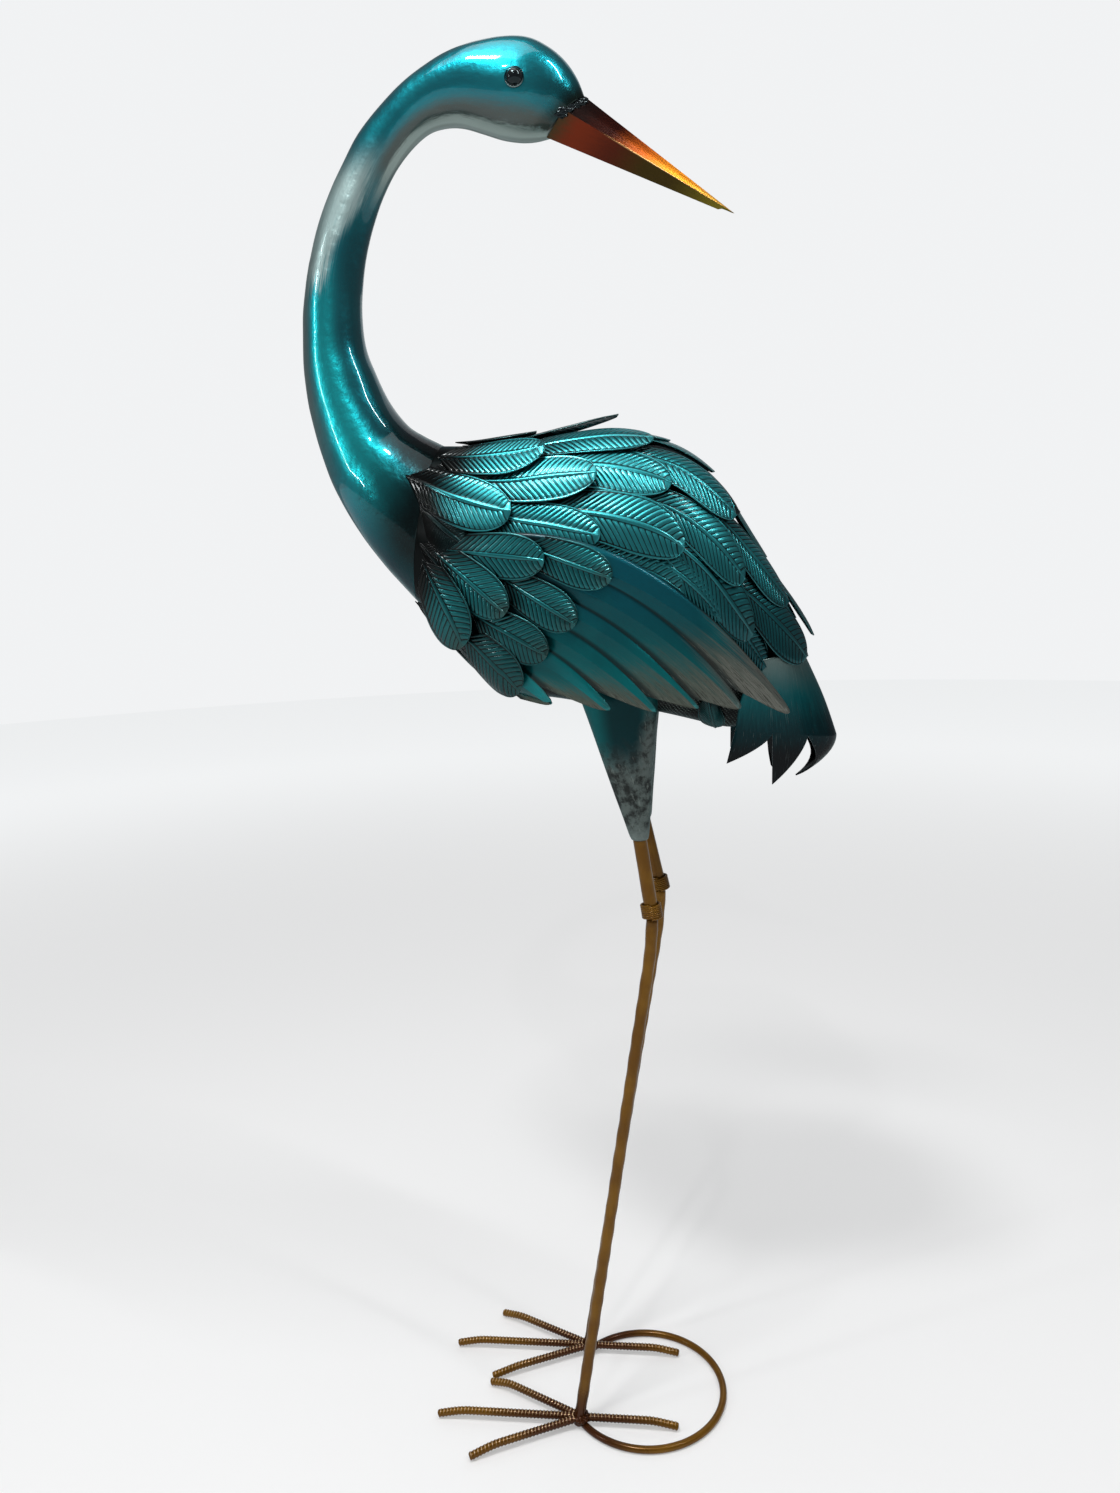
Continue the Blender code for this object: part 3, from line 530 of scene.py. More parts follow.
def legFinish():
    paint = Finish("legOchre", legColours, Metallic=0.35, Coat_Weight=0.2, Coat_Roughness=0.12,
                   Specular_IOR_Level=0.2)
    cloud = paint.grain(40.0, 4.0)
    fine = paint.grain(900.0, 3.0, roughness=0.6)
    paint.colour = paint.mix(cloud.rise(0.35, 0.7), "brown", "ochre")
    reach = (paint.x + 0.0154) ** 2.0 + (abs(paint.y) - leg["footHalfSpacing"] * mm) ** 2.0
    hub = (reach + (cloud - 0.5) * 0.0012).rise(0.0060, 0.0003) * paint.z.rise(0.045, 0.012)
    paint.coat(hub * 0.9, "hub")
    # painted highlight: pale dots on the rib crowns, standing in for glints of light on them
    paint.coat(paint.attribute("relief").rise(0.35, 1.0) * 0.8, "rib")
    paint.coat(fine.rise(0.66, 0.8) * 0.5, "pit")
    return paint.finished(fine * 0.15 + 0.24 - hub * 0.14, paint.bump(fine, 0.1 * mm, 0.5))


finishes = {
    "neck": neckFinish(),
    "beak": beakFinish(),
    "eye": eyeFinish(),
    "ring": ringFinish(),
    "thigh": thighFinish(),
    "belly": bellyFinish(),
}
for name, own in featherPaints.items():
    finishes[name] = featherFinish(own)
print("finishes mixed:", len(finishes))


# Shared shaping

sides = ((-1, "left"), (1, "right"))


# Point given in millimetres
def inMm(x, y, z):
    return Vector((x, y, z)) * mm


def moveShape(shape, way):
    bmesh.ops.translate(shape, verts=shape.verts, vec=way)


def turnShape(shape, degrees, axis):
    turn = Matrix.Rotation(math.radians(degrees), 3, axis)
    bmesh.ops.rotate(shape, verts=shape.verts, cent=(0, 0, 0), matrix=turn)


# Value of a list at a place between its entries, on a smooth curve
def smoothValue(values, position):
    last = len(values) - 1
    if position < 0.0:
        return values[0] + (values[1] - values[0]) * position
    if position >= last:
        return values[last] + (values[last] - values[last - 1]) * (position - last)
    index = int(position)
    t = position - index
    start = values[index]
    end = values[index + 1]
    startSlope = (end - values[max(index - 1, 0)]) * 0.5
    endSlope = (values[min(index + 2, last)] - start) * 0.5
    middle = start * (2 * t**3 - 3 * t**2 + 1) + end * (3 * t**2 - 2 * t**3)
    return middle + startSlope * (t**3 - 2 * t**2 + t) + endSlope * (t**3 - t**2)


def sidePoints(pairs):
    return [inMm(x, 0, z) for x, z in pairs]


# Point of an oval section that two points of the side outline span
def ovalPoint(first, second, halfWidth, angle):
    across = Vector((0, halfWidth * math.sin(angle), 0))
    return (first + second) * 0.5 + (first - second) * 0.5 * math.cos(angle) + across


# Which entry of a rising list a value follows, and its share of the way to the next
def placeIn(values, value):
    index = 0
    while index < len(values) - 2 and value > values[index + 1]:
        index += 1
    share = (value - values[index]) / (values[index + 1] - values[index])
    return index, min(max(share, 0.0), 1.0)


# A grid whose corners go where place(u, v) says, keeping u and v as its UV and the relief it returns
def bentGrid(rows, columns, place, joined=False):
    shape = bmesh.new()
    bmesh.ops.create_grid(shape, x_segments=rows, y_segments=columns, size=0.5)
    uvs = shape.loops.layers.uv.new("UVMap")
    reliefs = shape.verts.layers.float.new("relief")
    for face in shape.faces:
        for loop in face.loops:
            loop[uvs].uv = (loop.vert.co.x + 0.5, loop.vert.co.y + 0.5)
    for vertex in shape.verts:
        vertex.co, vertex[reliefs] = place(vertex.co.x + 0.5, vertex.co.y + 0.5)
    bmesh.ops.remove_doubles(shape, verts=shape.verts, dist=0.005 * mm)
    if joined:
        rims = [edge for edge in shape.edges if edge.is_boundary]
        bmesh.ops.holes_fill(shape, edges=rims, sides=0)
        bmesh.ops.recalc_face_normals(shape, faces=shape.faces)
    return shape


# Turns an open sheet's faces away from a point inside the bird
def faceOutward(shape, inside):
    turned = sum(face.normal.dot(face.calc_center_median() - inside) for face in shape.faces)
    if turned < 0:
        bmesh.ops.reverse_faces(shape, faces=shape.faces)


# Makes a finished piece of a shape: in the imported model's place, painted, riding on the bird
def addPiece(name, shape, finish, nodes=(), thickness=0.0, crease=180):
    moveShape(shape, (shiftX, 0, 0))
    for edge in shape.edges:
        edge.smooth = edge.calc_face_angle(0.0) < math.radians(crease)
    mesh = bpy.data.meshes.new(name)
    for face in shape.faces:
        face.smooth = True
    shape.to_mesh(mesh)
    shape.free()
    piece = bpy.data.objects.new(name, mesh)
    bpy.context.scene.collection.objects.link(piece)
    mesh.materials.append(finishes[finish])
    if thickness:
        sheet = piece.modifiers.new("sheet", "SOLIDIFY")
        sheet.thickness = thickness
        sheet.offset = -1
    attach(piece, "root")
    if nodes:
        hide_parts(*nodes)
    return piece


# Neck and head

neck = {
    "outer": [
        (34.5, 1025.5), (30, 1037), (22.5, 1048.5), (10.5, 1059.5), (-4, 1066.5), (-24.5, 1068.5),
        (-45, 1066.5), (-65, 1061.5), (-86, 1051.5), (-104.5, 1039.5), (-124.5, 1021.5), (-142, 999),
        (-158, 971), (-171, 940), (-180.5, 903), (-184.4, 865), (-183.5, 832), (-177, 797),
        (-165, 760), (-147, 727.5), (-128.5, 702), (-105, 675),
    ],
    "inner": [
        (5.5, 1001), (2.5, 1000.5), (-2, 1000), (-8, 999.8), (-15, 1000.5), (-26, 1003.2), (-40, 1008.5),
        (-55, 1013.5), (-68, 1014.5), (-81, 1011), (-96, 999.5), (-110, 982), (-121.5, 961),
        (-130.5, 936), (-136.8, 905), (-137, 870), (-129.5, 847), (-120, 826), (-107, 809),
        (-95, 800.5), (-88, 796.5), (-80, 792),
    ],
    "halfWidth": [
        13, 17, 21.5, 24.5, 26.5, 27, 26, 23, 20, 18, 17, 17, 18, 20, 21.5, 23, 26, 30, 35, 41, 44.5, 48,
    ],
    "seamSection": 13.4,
    "seamWidth": 0.04,
    "seamHeight": 0.3,
    "dent": 0.45,
    "sink": 0.3,
    "rows": 190,
    "columns": 60,
}
neckOuter = sidePoints(neck["outer"])
neckInner = sidePoints(neck["inner"])


def neckPlace(u, v):
    section = u * (len(neckOuter) - 1)
    outer = smoothValue(neckOuter, section)
    inner = smoothValue(neckInner, section)
    width = smoothValue(neck["halfWidth"], section) * mm
    angle = 2 * math.pi * v
    point = ovalPoint(outer, inner, width, angle)
    out = (outer - inner).normalized() * math.cos(angle) + Vector((0, math.sin(angle), 0))
    fromSeam = (section - neck["seamSection"]) / neck["seamWidth"]
    seam = math.exp(-(fromSeam**2)) * max(math.cos(angle) - 0.3, 0.0)
    rise = seam * neck["seamHeight"] + noise.noise(point * 45) * neck["dent"] - neck["sink"]
    return point + out.normalized() * rise * mm, seam


neckShape = bentGrid(neck["rows"], neck["columns"], neckPlace, True)
addPiece("heron_neck", neckShape, "neck", ["neck_and_head"])


# Beak: flat facets with a ridge along each side, the lower half ending short of the tip

beak = {
    "tip": (137.5, 941),
    "lowerTip": (128, 943.5),
    "halfWidth": 12.5,
    "lowerShare": 0.93,
    "overlap": 1.5,
    "tipHalfWidth": 0.5,
    "upperBulge": 0.56,
    "lowerBulge": 0.55,
    "lowerDepth": (0.55, 0.35),
    "rows": 60,
    "columns": 24,
}


def beakPlace(u, v):
    upward = (neckOuter[0] - neckInner[0]).normalized()
    start = Vector((upward.z, 0, -upward.x)) * -beak["overlap"] * mm
    crown = neckOuter[0] + start
    chin = neckInner[0] + start
    tip, lowerTip = sidePoints([beak["tip"], beak["lowerTip"]])
    above = crown.lerp(tip, u)
    ridge = ((crown + chin) * 0.5).lerp(tip, u)
    below = chin.lerp(lowerTip, min(u / beak["lowerShare"], 1.0))
    if u > beak["lowerShare"]:
        share = (u - beak["lowerShare"]) / (1 - beak["lowerShare"])
        depth, fall = beak["lowerDepth"]
        below = ridge.lerp(below, max(depth - share * fall, 0.0))
    side = inMm(0, beak["halfWidth"] * (1 - u) + beak["tipHalfWidth"], 0)
    upper, lower = above.lerp(ridge, 0.5), ridge.lerp(below, 0.5)
    upperSide, lowerSide = side * beak["upperBulge"], side * beak["lowerBulge"]
    corners = [
        above, upper + upperSide, ridge + side, lower + lowerSide,
        below, lower - lowerSide, ridge - side, upper - upperSide,
    ]
    place = v * 8
    index = int(place) % 8
    point = corners[index].lerp(corners[(index + 1) % 8], place - int(place))
    return point, 0.0


beakShape = bentGrid(beak["rows"], beak["columns"], beakPlace, True)
addPiece("heron_beak", beakShape, "beak", ["beak"], crease=14)


# Weld lumps on top of the seam between head and beak, in glossy black
beakWeld = {
    "lumps": 19,
    "radius": 4.7,
    "squash": (1.25, 0.6, 0.7),
    "from": (31.8, 1022.0),
    "to": (17.5, 1012),
    "halfWidth": 12.0,
}


def makeBeakWeld():
    shape = bmesh.new()
    for index in range(beakWeld["lumps"]):
        share = 2 * index / (beakWeld["lumps"] - 1) - 1
        x, z = Vector(beakWeld["from"]).lerp(Vector(beakWeld["to"]), abs(share) ** 1.3)
        centre = Vector((x, beakWeld["halfWidth"] * math.copysign(abs(share) ** 0.8, share), z)) * mm
        lump = bmesh.ops.create_icosphere(shape, subdivisions=4, radius=beakWeld["radius"] * mm)["verts"]
        for vertex in lump:
            bumpy = 0.95 + noise.noise(vertex.co * 350 + centre * 300) * 0.6
            vertex.co = vertex.co * Vector(beakWeld["squash"]) * bumpy + centre
    addPiece("beak_weld", shape, "eye")


makeBeakWeld()


# Eyes: glossy beads in a thin pale ring

eye = {
    "radius": 6.3,
    "place": (-12, 1031.5),
    "headHalfWidth": 27.2,
    "ringRadius": 6.3,
    "ringThickness": 0.55,
    "standOut": 0.35,
}


def makeEye(side, name):
    radius = eye["radius"] * mm
    out = eye["headHalfWidth"] + eye["standOut"] - eye["radius"] * 0.3
    centre = inMm(eye["place"][0], side * out, eye["place"][1])
    shape = bmesh.new()
    bmesh.ops.create_uvsphere(shape, u_segments=40, v_segments=28, radius=radius)
    turnShape(shape, 90, "X")
    moveShape(shape, centre)
    addPiece(name + "_eye_bead", shape, "eye", [name + "_eye"])
    shape = bmesh.new()
    bmesh.ops.create_circle(shape, segments=10, radius=eye["ringThickness"] * mm)
    moveShape(shape, (eye["ringRadius"] * mm, 0, 0))
    turnShape(shape, 180, "X")
    bmesh.ops.spin(
        shape, geom=shape.edges[:], cent=(0, 0, 0), axis=(0, 1, 0), angle=2 * math.pi, steps=48,
        use_merge=True)
    bmesh.ops.remove_doubles(shape, verts=shape.verts, dist=0.01 * mm)
    bmesh.ops.recalc_face_normals(shape, faces=shape.faces)
    moveShape(shape, centre + Vector((0, side * radius * 0.25, 0)))
    addPiece(name + "_eye_rim", shape, "ring")


for side, name in sides:
    makeEye(side, name)
print("neck, beak and eyes made")


# Body

body = {
    "top": [
        (-80, 792), (-55, 791), (-22, 792), (15, 793), (55, 790), (93, 777),
        (122, 749), (143, 711), (160, 675), (172, 644), (176, 622),
    ],
    "bottom": [
        (-105, 675), (-76, 640), (-38, 608), (2, 599), (35, 594), (62, 590),
        (84, 585), (103, 580), (118, 576), (131, 574), (146, 578),
    ],
    "halfWidth": [48, 58, 64, 66, 66, 63, 57, 49, 40, 31, 21],
    "rows": 110,
    "columns": 84,
}
insideBody = inMm(20, 0, 690)
bodyTop = sidePoints(body["top"])
bodyBottom = sidePoints(body["bottom"])


# Point of the body's skin: section number, angle from the top, positive to the bird's right
def bodyPoint(section, angle):
    top = smoothValue(bodyTop, section)
    bottom = smoothValue(bodyBottom, section)
    width = smoothValue(body["halfWidth"], section) * mm
    return ovalPoint(top, bottom, width, angle)


def bodySlopes(section, angle):
    step = 0.01
    along = (bodyPoint(section + step, angle) - bodyPoint(section - step, angle)) / (2 * step)
    around = (bodyPoint(section, angle + step) - bodyPoint(section, angle - step)) / (2 * step)
    return along, around


def aboveBody(section, angle, height):
    along, around = bodySlopes(section, angle)
    return bodyPoint(section, angle) + around.cross(along).normalized() * -height


def bodyPlace(u, v):
    return bodyPoint(u * (len(bodyTop) - 1), 2 * math.pi * v), 0.0


bodyShape = bentGrid(body["rows"], body["columns"], bodyPlace, True)
addPiece("heron_body", bodyShape, "belly", ["body"], crease=50)
print("body made")


# Feathers

feather = {
    "thickness": 0.8,
    "crown": 0.9,
    "clearance": 1.6,
    "layer": 1.7,
    "widest": 0.62,
    "rootWidth": 0.62,
    "barbs": 19,
    "barbSlant": 0.95,
    "barbRise": 0.24,
    "barbFall": 0.72,
    "barbEnd": 0.93,
    "tipRows": [(0.945, 0.6), (0.96, 0.8), (0.975, 0.8), (0.987, 0.8), (0.996, 0.75), (1.0, 0.75)],
    "tipMargin": 0.15,
    "emboss": 0.55,
    "crestClimb": 2.0,
    "spineDepth": 0.35,
}

# name, tip as (section, degrees from the top), length, width, heading away from the top line,
# how far the tip stands off, layer, finish; the ones after tail_cover have no solid of their own
backFeathers = [
    ("nape", 2.70, 37, 84, 31, -3, 8, 1.2, "back"),
    ("neck_side", 2.17, 67, 91, 38, 4, 7, 0, "back"),
    ("shoulder", 3.66, 50.5, 92, 34, -2, 8, 0.4, "back"),
    ("back", 4.53, 22, 92, 30, -5, 8, 0, "back"),
    ("flank", 3.80, 76, 88, 32, 10, 4.6, 0, "back"),
    ("side", 5.43, 71, 96, 40, 6, 7, 0, "back"),
    ("loin", 6.32, 33, 94, 32, -1, 8, 0, "back"),
    ("hip", 6.94, 57, 92, 34, 0, 8, 0, "back"),
    ("rump", 8.25, 24, 86, 30, -10, 8.5, 0.6, "back"),
    ("tail_cover", 9.45, 38, 80, 31, -12, 13, 0, "back"),
    ("spine_side", 4.97, 46, 90, 37, 4, 5.0, 0, "back"),
    ("thigh_cover", 7.72, 74, 100, 38, 3, 5.5, 0, "back"),
    ("wing_gap", 6.75, 84, 84, 34, 5, 4.0, -0.4, "back"),
    ("low_cover", 8.60, 79, 74, 28, 2, 5.0, -0.3, "back"),
    ("under_wing", 5.67, 88, 86, 32, 6, 3.0, -0.4, "back"),
    ("chest_upper", 1.30, 86, 46, 40, 12, 2.5, -0.3, "dark"),
    ("chest_middle", 1.25, 106, 42, 38, 10, 2.5, -0.4, "dark"),
    ("chest_lower", 1.20, 130, 40, 34, 8, 2.5, -0.5, "dark"),
    ("collar_upper", 1.60, 50, 48, 34, 0, 3.0, -0.5, "dark"),
    ("spine_edge", 6.45, 18, 84, 28, -3, 5.5, -0.3, "dark"),
    ("breast_front", 1.02, 154, 40, 32, 6, 2.0, -0.45, "dark"),
    ("breast_side", 2.00, 128, 52, 36, 6, 2.0, -0.55, "dark"),
    ("breast_rear", 1.95, 153, 48, 34, 5, 2.0, -0.5, "dark"),
    ("vent", 8.00, 162, 34, 21, 62, 1.5, -0.5, "shoulder"),
]
# the same for the middle lines of the back and the breast
spineFeathers = [
    ("crest", 3.85, 0, 118, 25, 0, 17.0, -1.5, "dark"),
    ("spine_front", 2.35, 0, 64, 26, 0, 4.0, 0, "dark"),
    ("spine_middle", 4.80, 0, 80, 28, 0, 5.0, -0.2, "shoulder"),
    ("spine_rear", 5.72, 0, 84, 30, 0, 6.0, -0.3, "shoulder"),
    ("spine_low", 7.40, 0, 88, 30, 0, 6.5, -0.3, "shoulder"),
    ("spine_end", 8.75, 0, 80, 28, 0, 8.0, -0.3, "back"),
    ("spine_tail", 9.85, 0, 70, 28, 0, 10.0, -0.2, "shoulder"),
    ("rump_edge", 9.25, 0, 74, 17, 0, 16.0, 0.2, "shoulder"),
    ("breast_top", 0.62, 180, 30, 32, 0, 2.0, -0.55, "dark"),
    ("breast_middle", 1.50, 180, 46, 34, 0, 2.0, -0.5, "dark"),
    ("breast_end", 2.42, 180, 48, 34, 0, 2.0, -0.55, "dark"),
]

# columns of one half feather: share of the half width, how much of the barb shows, fixed relief
halfColumns = [
    (0.0, 0.0, 1.25), (0.055, 0.0, 1.15), (0.10, 0.0, 0.1), (0.16, 0.9, 0.0), (0.42, 1.0, 0.0),
    (0.70, 1.0, 0.0), (0.85, 0.9, 0.0), (0.91, 0.0, 0.1), (0.95, 0.0, 0.8), (1.0, 0.0, 0.75),
]
featherColumns = [(-v, barb, fixed) for v, barb, fixed in reversed(halfColumns[1:])] + halfColumns


# rows along a feather: share of the length, how much of the barb shows there
def featherRows(barbs):
    rows = []
    pitch = feather["barbEnd"] / barbs
    for index in range(barbs):
        shares = ((0.0, 0.0), (feather["barbRise"], 1.0), (feather["barbFall"], 1.0))
        rows += [((index + share) * pitch, ridge) for share, ridge in shares]
    return rows + [(feather["barbEnd"], 0.0)] + feather["tipRows"]


# Half width of a feather as a share of its widest half width
def featherReach(share):
    if share < feather["widest"]:
        return 1 - (1 - feather["rootWidth"]) * (1 - share / feather["widest"]) ** 1.5
    return math.sqrt(max(1 - ((share - feather["widest"]) / (1 - feather["widest"])) ** 2.1, 0.0))


# Grid of one embossed feather; onSurface(distance from the root, distance across, height) places it
def featherShape(length, width, height, lift, onSurface, barbs=None, climb=1.0, depth=1.0):
    rows = featherRows(barbs or feather["barbs"])
    slant = feather["barbSlant"] * width * 0.5 / length

    def place(u, v):
        share, ridge = rows[round(u * (len(rows) - 1))]
        across, barb, fixed = featherColumns[round(v * (len(featherColumns) - 1))]
        relief = max(fixed, ridge) if share > feather["barbEnd"] else fixed + barb * ridge
        # barbs slant towards the tip, but never reach past it
        along = share + slant * abs(across) * (1 - share**4)
        along = min(along, 1 - (1 - share) * feather["tipMargin"])
        side = across * featherReach(along) * width * 0.5
        crown = feather["crown"] * (1 - abs(across)) + feather["thickness"]
        rise = crown + (relief - 0.5) * feather["emboss"] * depth
        return onSurface(along * length, side, height + lift * along**climb + rise * mm), relief

    return bentGrid(len(rows) - 1, len(featherColumns) - 1, place)


# A feather on the body: its middle line runs back from the tip, so that tips lie where they are set
def makeBodyFeather(name, section, angle, length, width, heading, lift, layer, finish, nodes):
    tipSection, tipAngle = section, angle
    steps = 8
    line = [(section, angle)]
    for step in range(steps):
        along, around = bodySlopes(section, angle)
        section -= length / steps * math.cos(heading) / along.length
        angle -= length / steps * math.sin(heading) / around.length
        line.append((section, angle))
    line.reverse()
    sizes = [[slope.length for slope in bodySlopes(*entry)] for entry in line]

    def onBody(distance, side, height):
        place = distance / length * steps
        index = min(int(place), steps - 1)
        part = place - index
        atSection, atAngle = (line[index][i] * (1 - part) + line[index + 1][i] * part for i in range(2))
        alongSize, aroundSize = (sizes[index][i] * (1 - part) + sizes[index + 1][i] * part for i in range(2))
        atSection -= side * math.sin(heading) / alongSize
        atAngle += side * math.cos(heading) / aroundSize
        return aboveBody(atSection, atAngle, height)

    height = feather["clearance"] * mm + layer * feather["layer"] * mm
    climb = feather["crestClimb"] if length > 100 * mm else 1.0
    depth = feather["spineDepth"] if tipAngle == 0.0 else 1.0
    shape = featherShape(length, width, height, lift, onBody, climb=climb, depth=depth)
    faceOutward(shape, (smoothValue(bodyTop, tipSection - 1) + smoothValue(bodyBottom, tipSection - 1)) * 0.5)
    addPiece(name, shape, finish, nodes, feather["thickness"] * mm, 62)


def makeFeathers(rows, side=1, before=""):
    for label, section, degrees, length, width, heading, lift, layer, finish in rows:
        node = before + label + "_feather"
        nodes = [node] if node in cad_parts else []
        makeBodyFeather(
            node + "_embossed", section, math.radians(degrees) * side, length * mm, width * mm,
            math.radians(heading) * side, lift * mm, layer, finish, nodes)


for side, sideName in sides:
    makeFeathers(backFeathers, side, sideName + "_")
makeFeathers(spineFeathers)
print("back feathers made")


# Wings

wing = {
    "halfWidth": [(-100, 50), (-60, 62), (-20, 70.5), (20, 75.5), (60, 75), (100, 69), (135, 58), (172, 49)],
    "thickness": 1.0,
    "rootTop": (-45, 722),
    "rootBottom": (-60, 632),
    "notches": [(152, 617), (126, 612), (98, 606), (69, 607), (34, 612), (-6, 615), (-24, 604)],
    "tips": [(168, 590), (133, 595), (103, 597), (73, 596), (41, 598), (1, 601)],
    "bow": 65,
    "bowWay": (0.15, 0.99),
    "roundUntil": -30,
    "flatFrom": 40,
    "flatCurve": 0.09,
    "ridge": 2.4,
    "ridgeClimb": 1.15,
    "ridgeRound": 0.85,
    "tipBulge": 2.5,
    "tipTaper": 0.3,
    "rows": 56,
    "columnsPerFinger": 10,
}

# name, tip (x, z), length, width, slope below level, layer in millimetres, barbs
shoulderFeathers = [
    ("upper_front", (4, 703), 72, 32, 8, 1.6, 15),
    ("upper_rear", (48, 689), 66, 30, 22, 0, 15),
    ("middle_front", (-24, 668), 68, 31, 41, 3.6, 15),
    ("middle_rear", (23, 659), 62, 30, 33, 0.4, 14),
    ("breast", (-53, 650), 66, 29, 62, 6.4, 14),
    ("lower_rear", (3, 639), 62, 29, 29, 1.6, 14),
    ("lower_front", (-17, 618), 56, 28, 43, 2.6, 13),
]
shoulder = {"clearance": 2.6, "lift": 4.5}


# Height of the body's middle line and its half height at a place along x
def bodyMiddle(x):
    middles = [(top + bottom) * 0.5 for top, bottom in zip(bodyTop, bodyBottom)]
    index, share = placeIn([middle.x for middle in middles], x)
    centre = middles[index].z * (1 - share) + middles[index + 1].z * share
    first = (bodyTop[index] - bodyBottom[index]).length
    second = (bodyTop[index + 1] - bodyBottom[index + 1]).length
    return centre, (first * (1 - share) + second * share) * 0.5


# Half width of the wing pair at a place seen from the side
def wingReach(x, z):
    places = [pair[0] * mm for pair in wing["halfWidth"]]
    widths = [pair[1] * mm for pair in wing["halfWidth"]]
    index, share = placeIn(places, x)
    width = smoothValue(widths, index + min(share, 0.999))
    centre, halfHeight = bodyMiddle(x)
    level = min(abs(z - centre) / halfHeight, 0.97)
    rounded = (1 - level**4) ** (1 / 4)
    flat = 1 - wing["flatCurve"] * level**2
    blend = (x - wing["roundUntil"] * mm) / ((wing["flatFrom"] - wing["roundUntil"]) * mm)
    blend = min(max(blend, 0.0), 1.0)
    return width * (rounded * (1 - blend) + flat * blend)


def onWing(x, z, height, side):
    step = 1.0 * mm
    reach = wingReach(x, z)
    slopeX = (wingReach(x + step, z) - wingReach(x - step, z)) / (2 * step)
    slopeZ = (wingReach(x, z + step) - wingReach(x, z - step)) / (2 * step)
    out = Vector((-slopeX, 1.0, -slopeZ)).normalized()
    point = Vector((x, reach, z)) + out * height
    return Vector((point.x, point.y * side, point.z))


def makeWing(side, name):
    rootTop = Vector(wing["rootTop"]) * mm
    rootBottom = Vector(wing["rootBottom"]) * mm
    notches = [Vector(pair) * mm for pair in wing["notches"]]
    tips = [Vector(pair) * mm for pair in wing["tips"]]
    bow = Vector(wing["bowWay"]) * wing["bow"] * mm

    def place(u, v):
        finger = min(int(v * len(tips)), len(tips) - 1)
        phase = v * len(tips) - finger
        point = 1 - abs(2 * phase - 1)
        reach = 1 - (1 - point) ** wing["tipBulge"]
        middle = notches[finger].lerp(notches[finger + 1], 0.5)
        between = notches[finger].lerp(notches[finger + 1], phase)
        way = tips[finger] - middle.lerp(between, wing["tipTaper"])
        end = between + way * reach
        start = rootTop.lerp(rootBottom, v)
        control = (start + end) * 0.5 + bow * (1 - v)
        spot = start * (1 - u) ** 2 + control * 2 * u * (1 - u) + end * u**2
        ridge = wing["ridge"] * min(u * wing["ridgeClimb"], 1.0) * point ** wing["ridgeRound"]
        return onWing(spot.x, spot.y, (ridge + wing["thickness"]) * mm, side), point

    shape = bentGrid(wing["rows"], wing["columnsPerFinger"] * len(tips), place)
    faceOutward(shape, insideBody)
    addPiece(name + "_sheet", shape, "wing", [name], wing["thickness"] * mm, 13)


def makeShoulderFeathers(side, sideName):
    for label, tip, length, width, slope, layer, barbs in shoulderFeathers:
        node = sideName + "_" + label + "_wing_feather"
        back = Vector((-math.cos(math.radians(slope)), math.sin(math.radians(slope))))
        across = Vector((back.y, -back.x))
        root = Vector(tip) * mm + back * length * mm

        def onShoulder(distance, offset, height):
            spot = root - back * distance + across * offset
            return onWing(spot.x, spot.y, height, side)

        height = (shoulder["clearance"] + layer) * mm
        shape = featherShape(length * mm, width * mm, height, shoulder["lift"] * mm, onShoulder, barbs)
        faceOutward(shape, insideBody)
        addPiece(node + "_embossed", shape, "shoulder", [node], feather["thickness"] * mm, 62)


finishes["wing"] = wingFinish()
for side, sideName in sides:
    makeWing(side, sideName + "_wing")
    makeShoulderFeathers(side, sideName)
print("wings made")


# Tail

tail = {
    "rear": [(182, 633), (197, 599), (208, 567)],
    "front": [(150, 627), (137, 602), (132, 577)],
    "halfWidth": [41, 39, 37],
    "thickness": 1.2,
    "angles": [-90, -69.5, -46.5, 46.5, 69.5, 90],
    "lengths": [25, 38, 32, 38, 25],
    "sweep": [8, 2, 30, -4, 2],
    "clawPeak": 0.05,
    "clawBulge": 0.75,
    "hook": 2.0,
    "split": 0.55,
    "ripple": 0.5,
    "rows": 44,
    "columnsPerFinger": 20,
}
tailRear = sidePoints(tail["rear"])
tailFront = sidePoints(tail["front"])


# Point of the tail sheet: angle round from the rear, share of the way down, outward offset
def tailPoint(angle, share, offset):
    rear = smoothValue(tailRear, share * 2)
    front = smoothValue(tailFront, share * 2)
    width = smoothValue(tail["halfWidth"], share * 2) * mm + offset
    reach = rear - front
    across = Vector((0, width * math.sin(angle), 0))
    return front + reach.normalized() * (reach.length + offset) * math.cos(angle) + across


def tailPlace(u, v):
    count = len(tail["lengths"])
    finger = min(int(v * count), count - 1)
    phase = v * count - finger
    first, second = (math.radians(value) for value in tail["angles"][finger:finger + 2])
    trailing = phase if finger < count / 2 else 1 - phase
    peak = tail["clawPeak"]
    if finger == count // 2:
        drop = 1 - abs(2 * phase - 1)
    elif trailing < peak:
        drop = trailing / peak
    else:
        drop = (1 - trailing) / (1 - peak)
    drop = drop ** tail["clawBulge"]
    angle = first + (second - first) * phase
    split = tail["split"]
    share = min(u / split, 1.0)
    spot = tailPoint(angle, share, tail["thickness"] * mm)
    if u > split:
        depth = (u - split) / (1 - split)
        hook = -tail["sweep"][finger] * (depth * drop) ** tail["hook"]
        spot += Vector((hook, 0, -tail["lengths"][finger] * depth * drop)) * mm
    ripple = noise.noise(Vector((angle * 4, share * 2, 0.3))) * tail["ripple"] * mm
    return spot + Vector((math.cos(angle), math.sin(angle), 0)) * ripple, drop


finishes["tail"] = tailFinish()
tailShape = bentGrid(tail["rows"], tail["columnsPerFinger"] * len(tail["lengths"]), tailPlace)
faceOutward(tailShape, inMm(150, 0, 595))
addPiece("heron_tail_sheet", tailShape, "tail", ["tail"], tail["thickness"] * mm, 30)
print("tail made")


# Legs

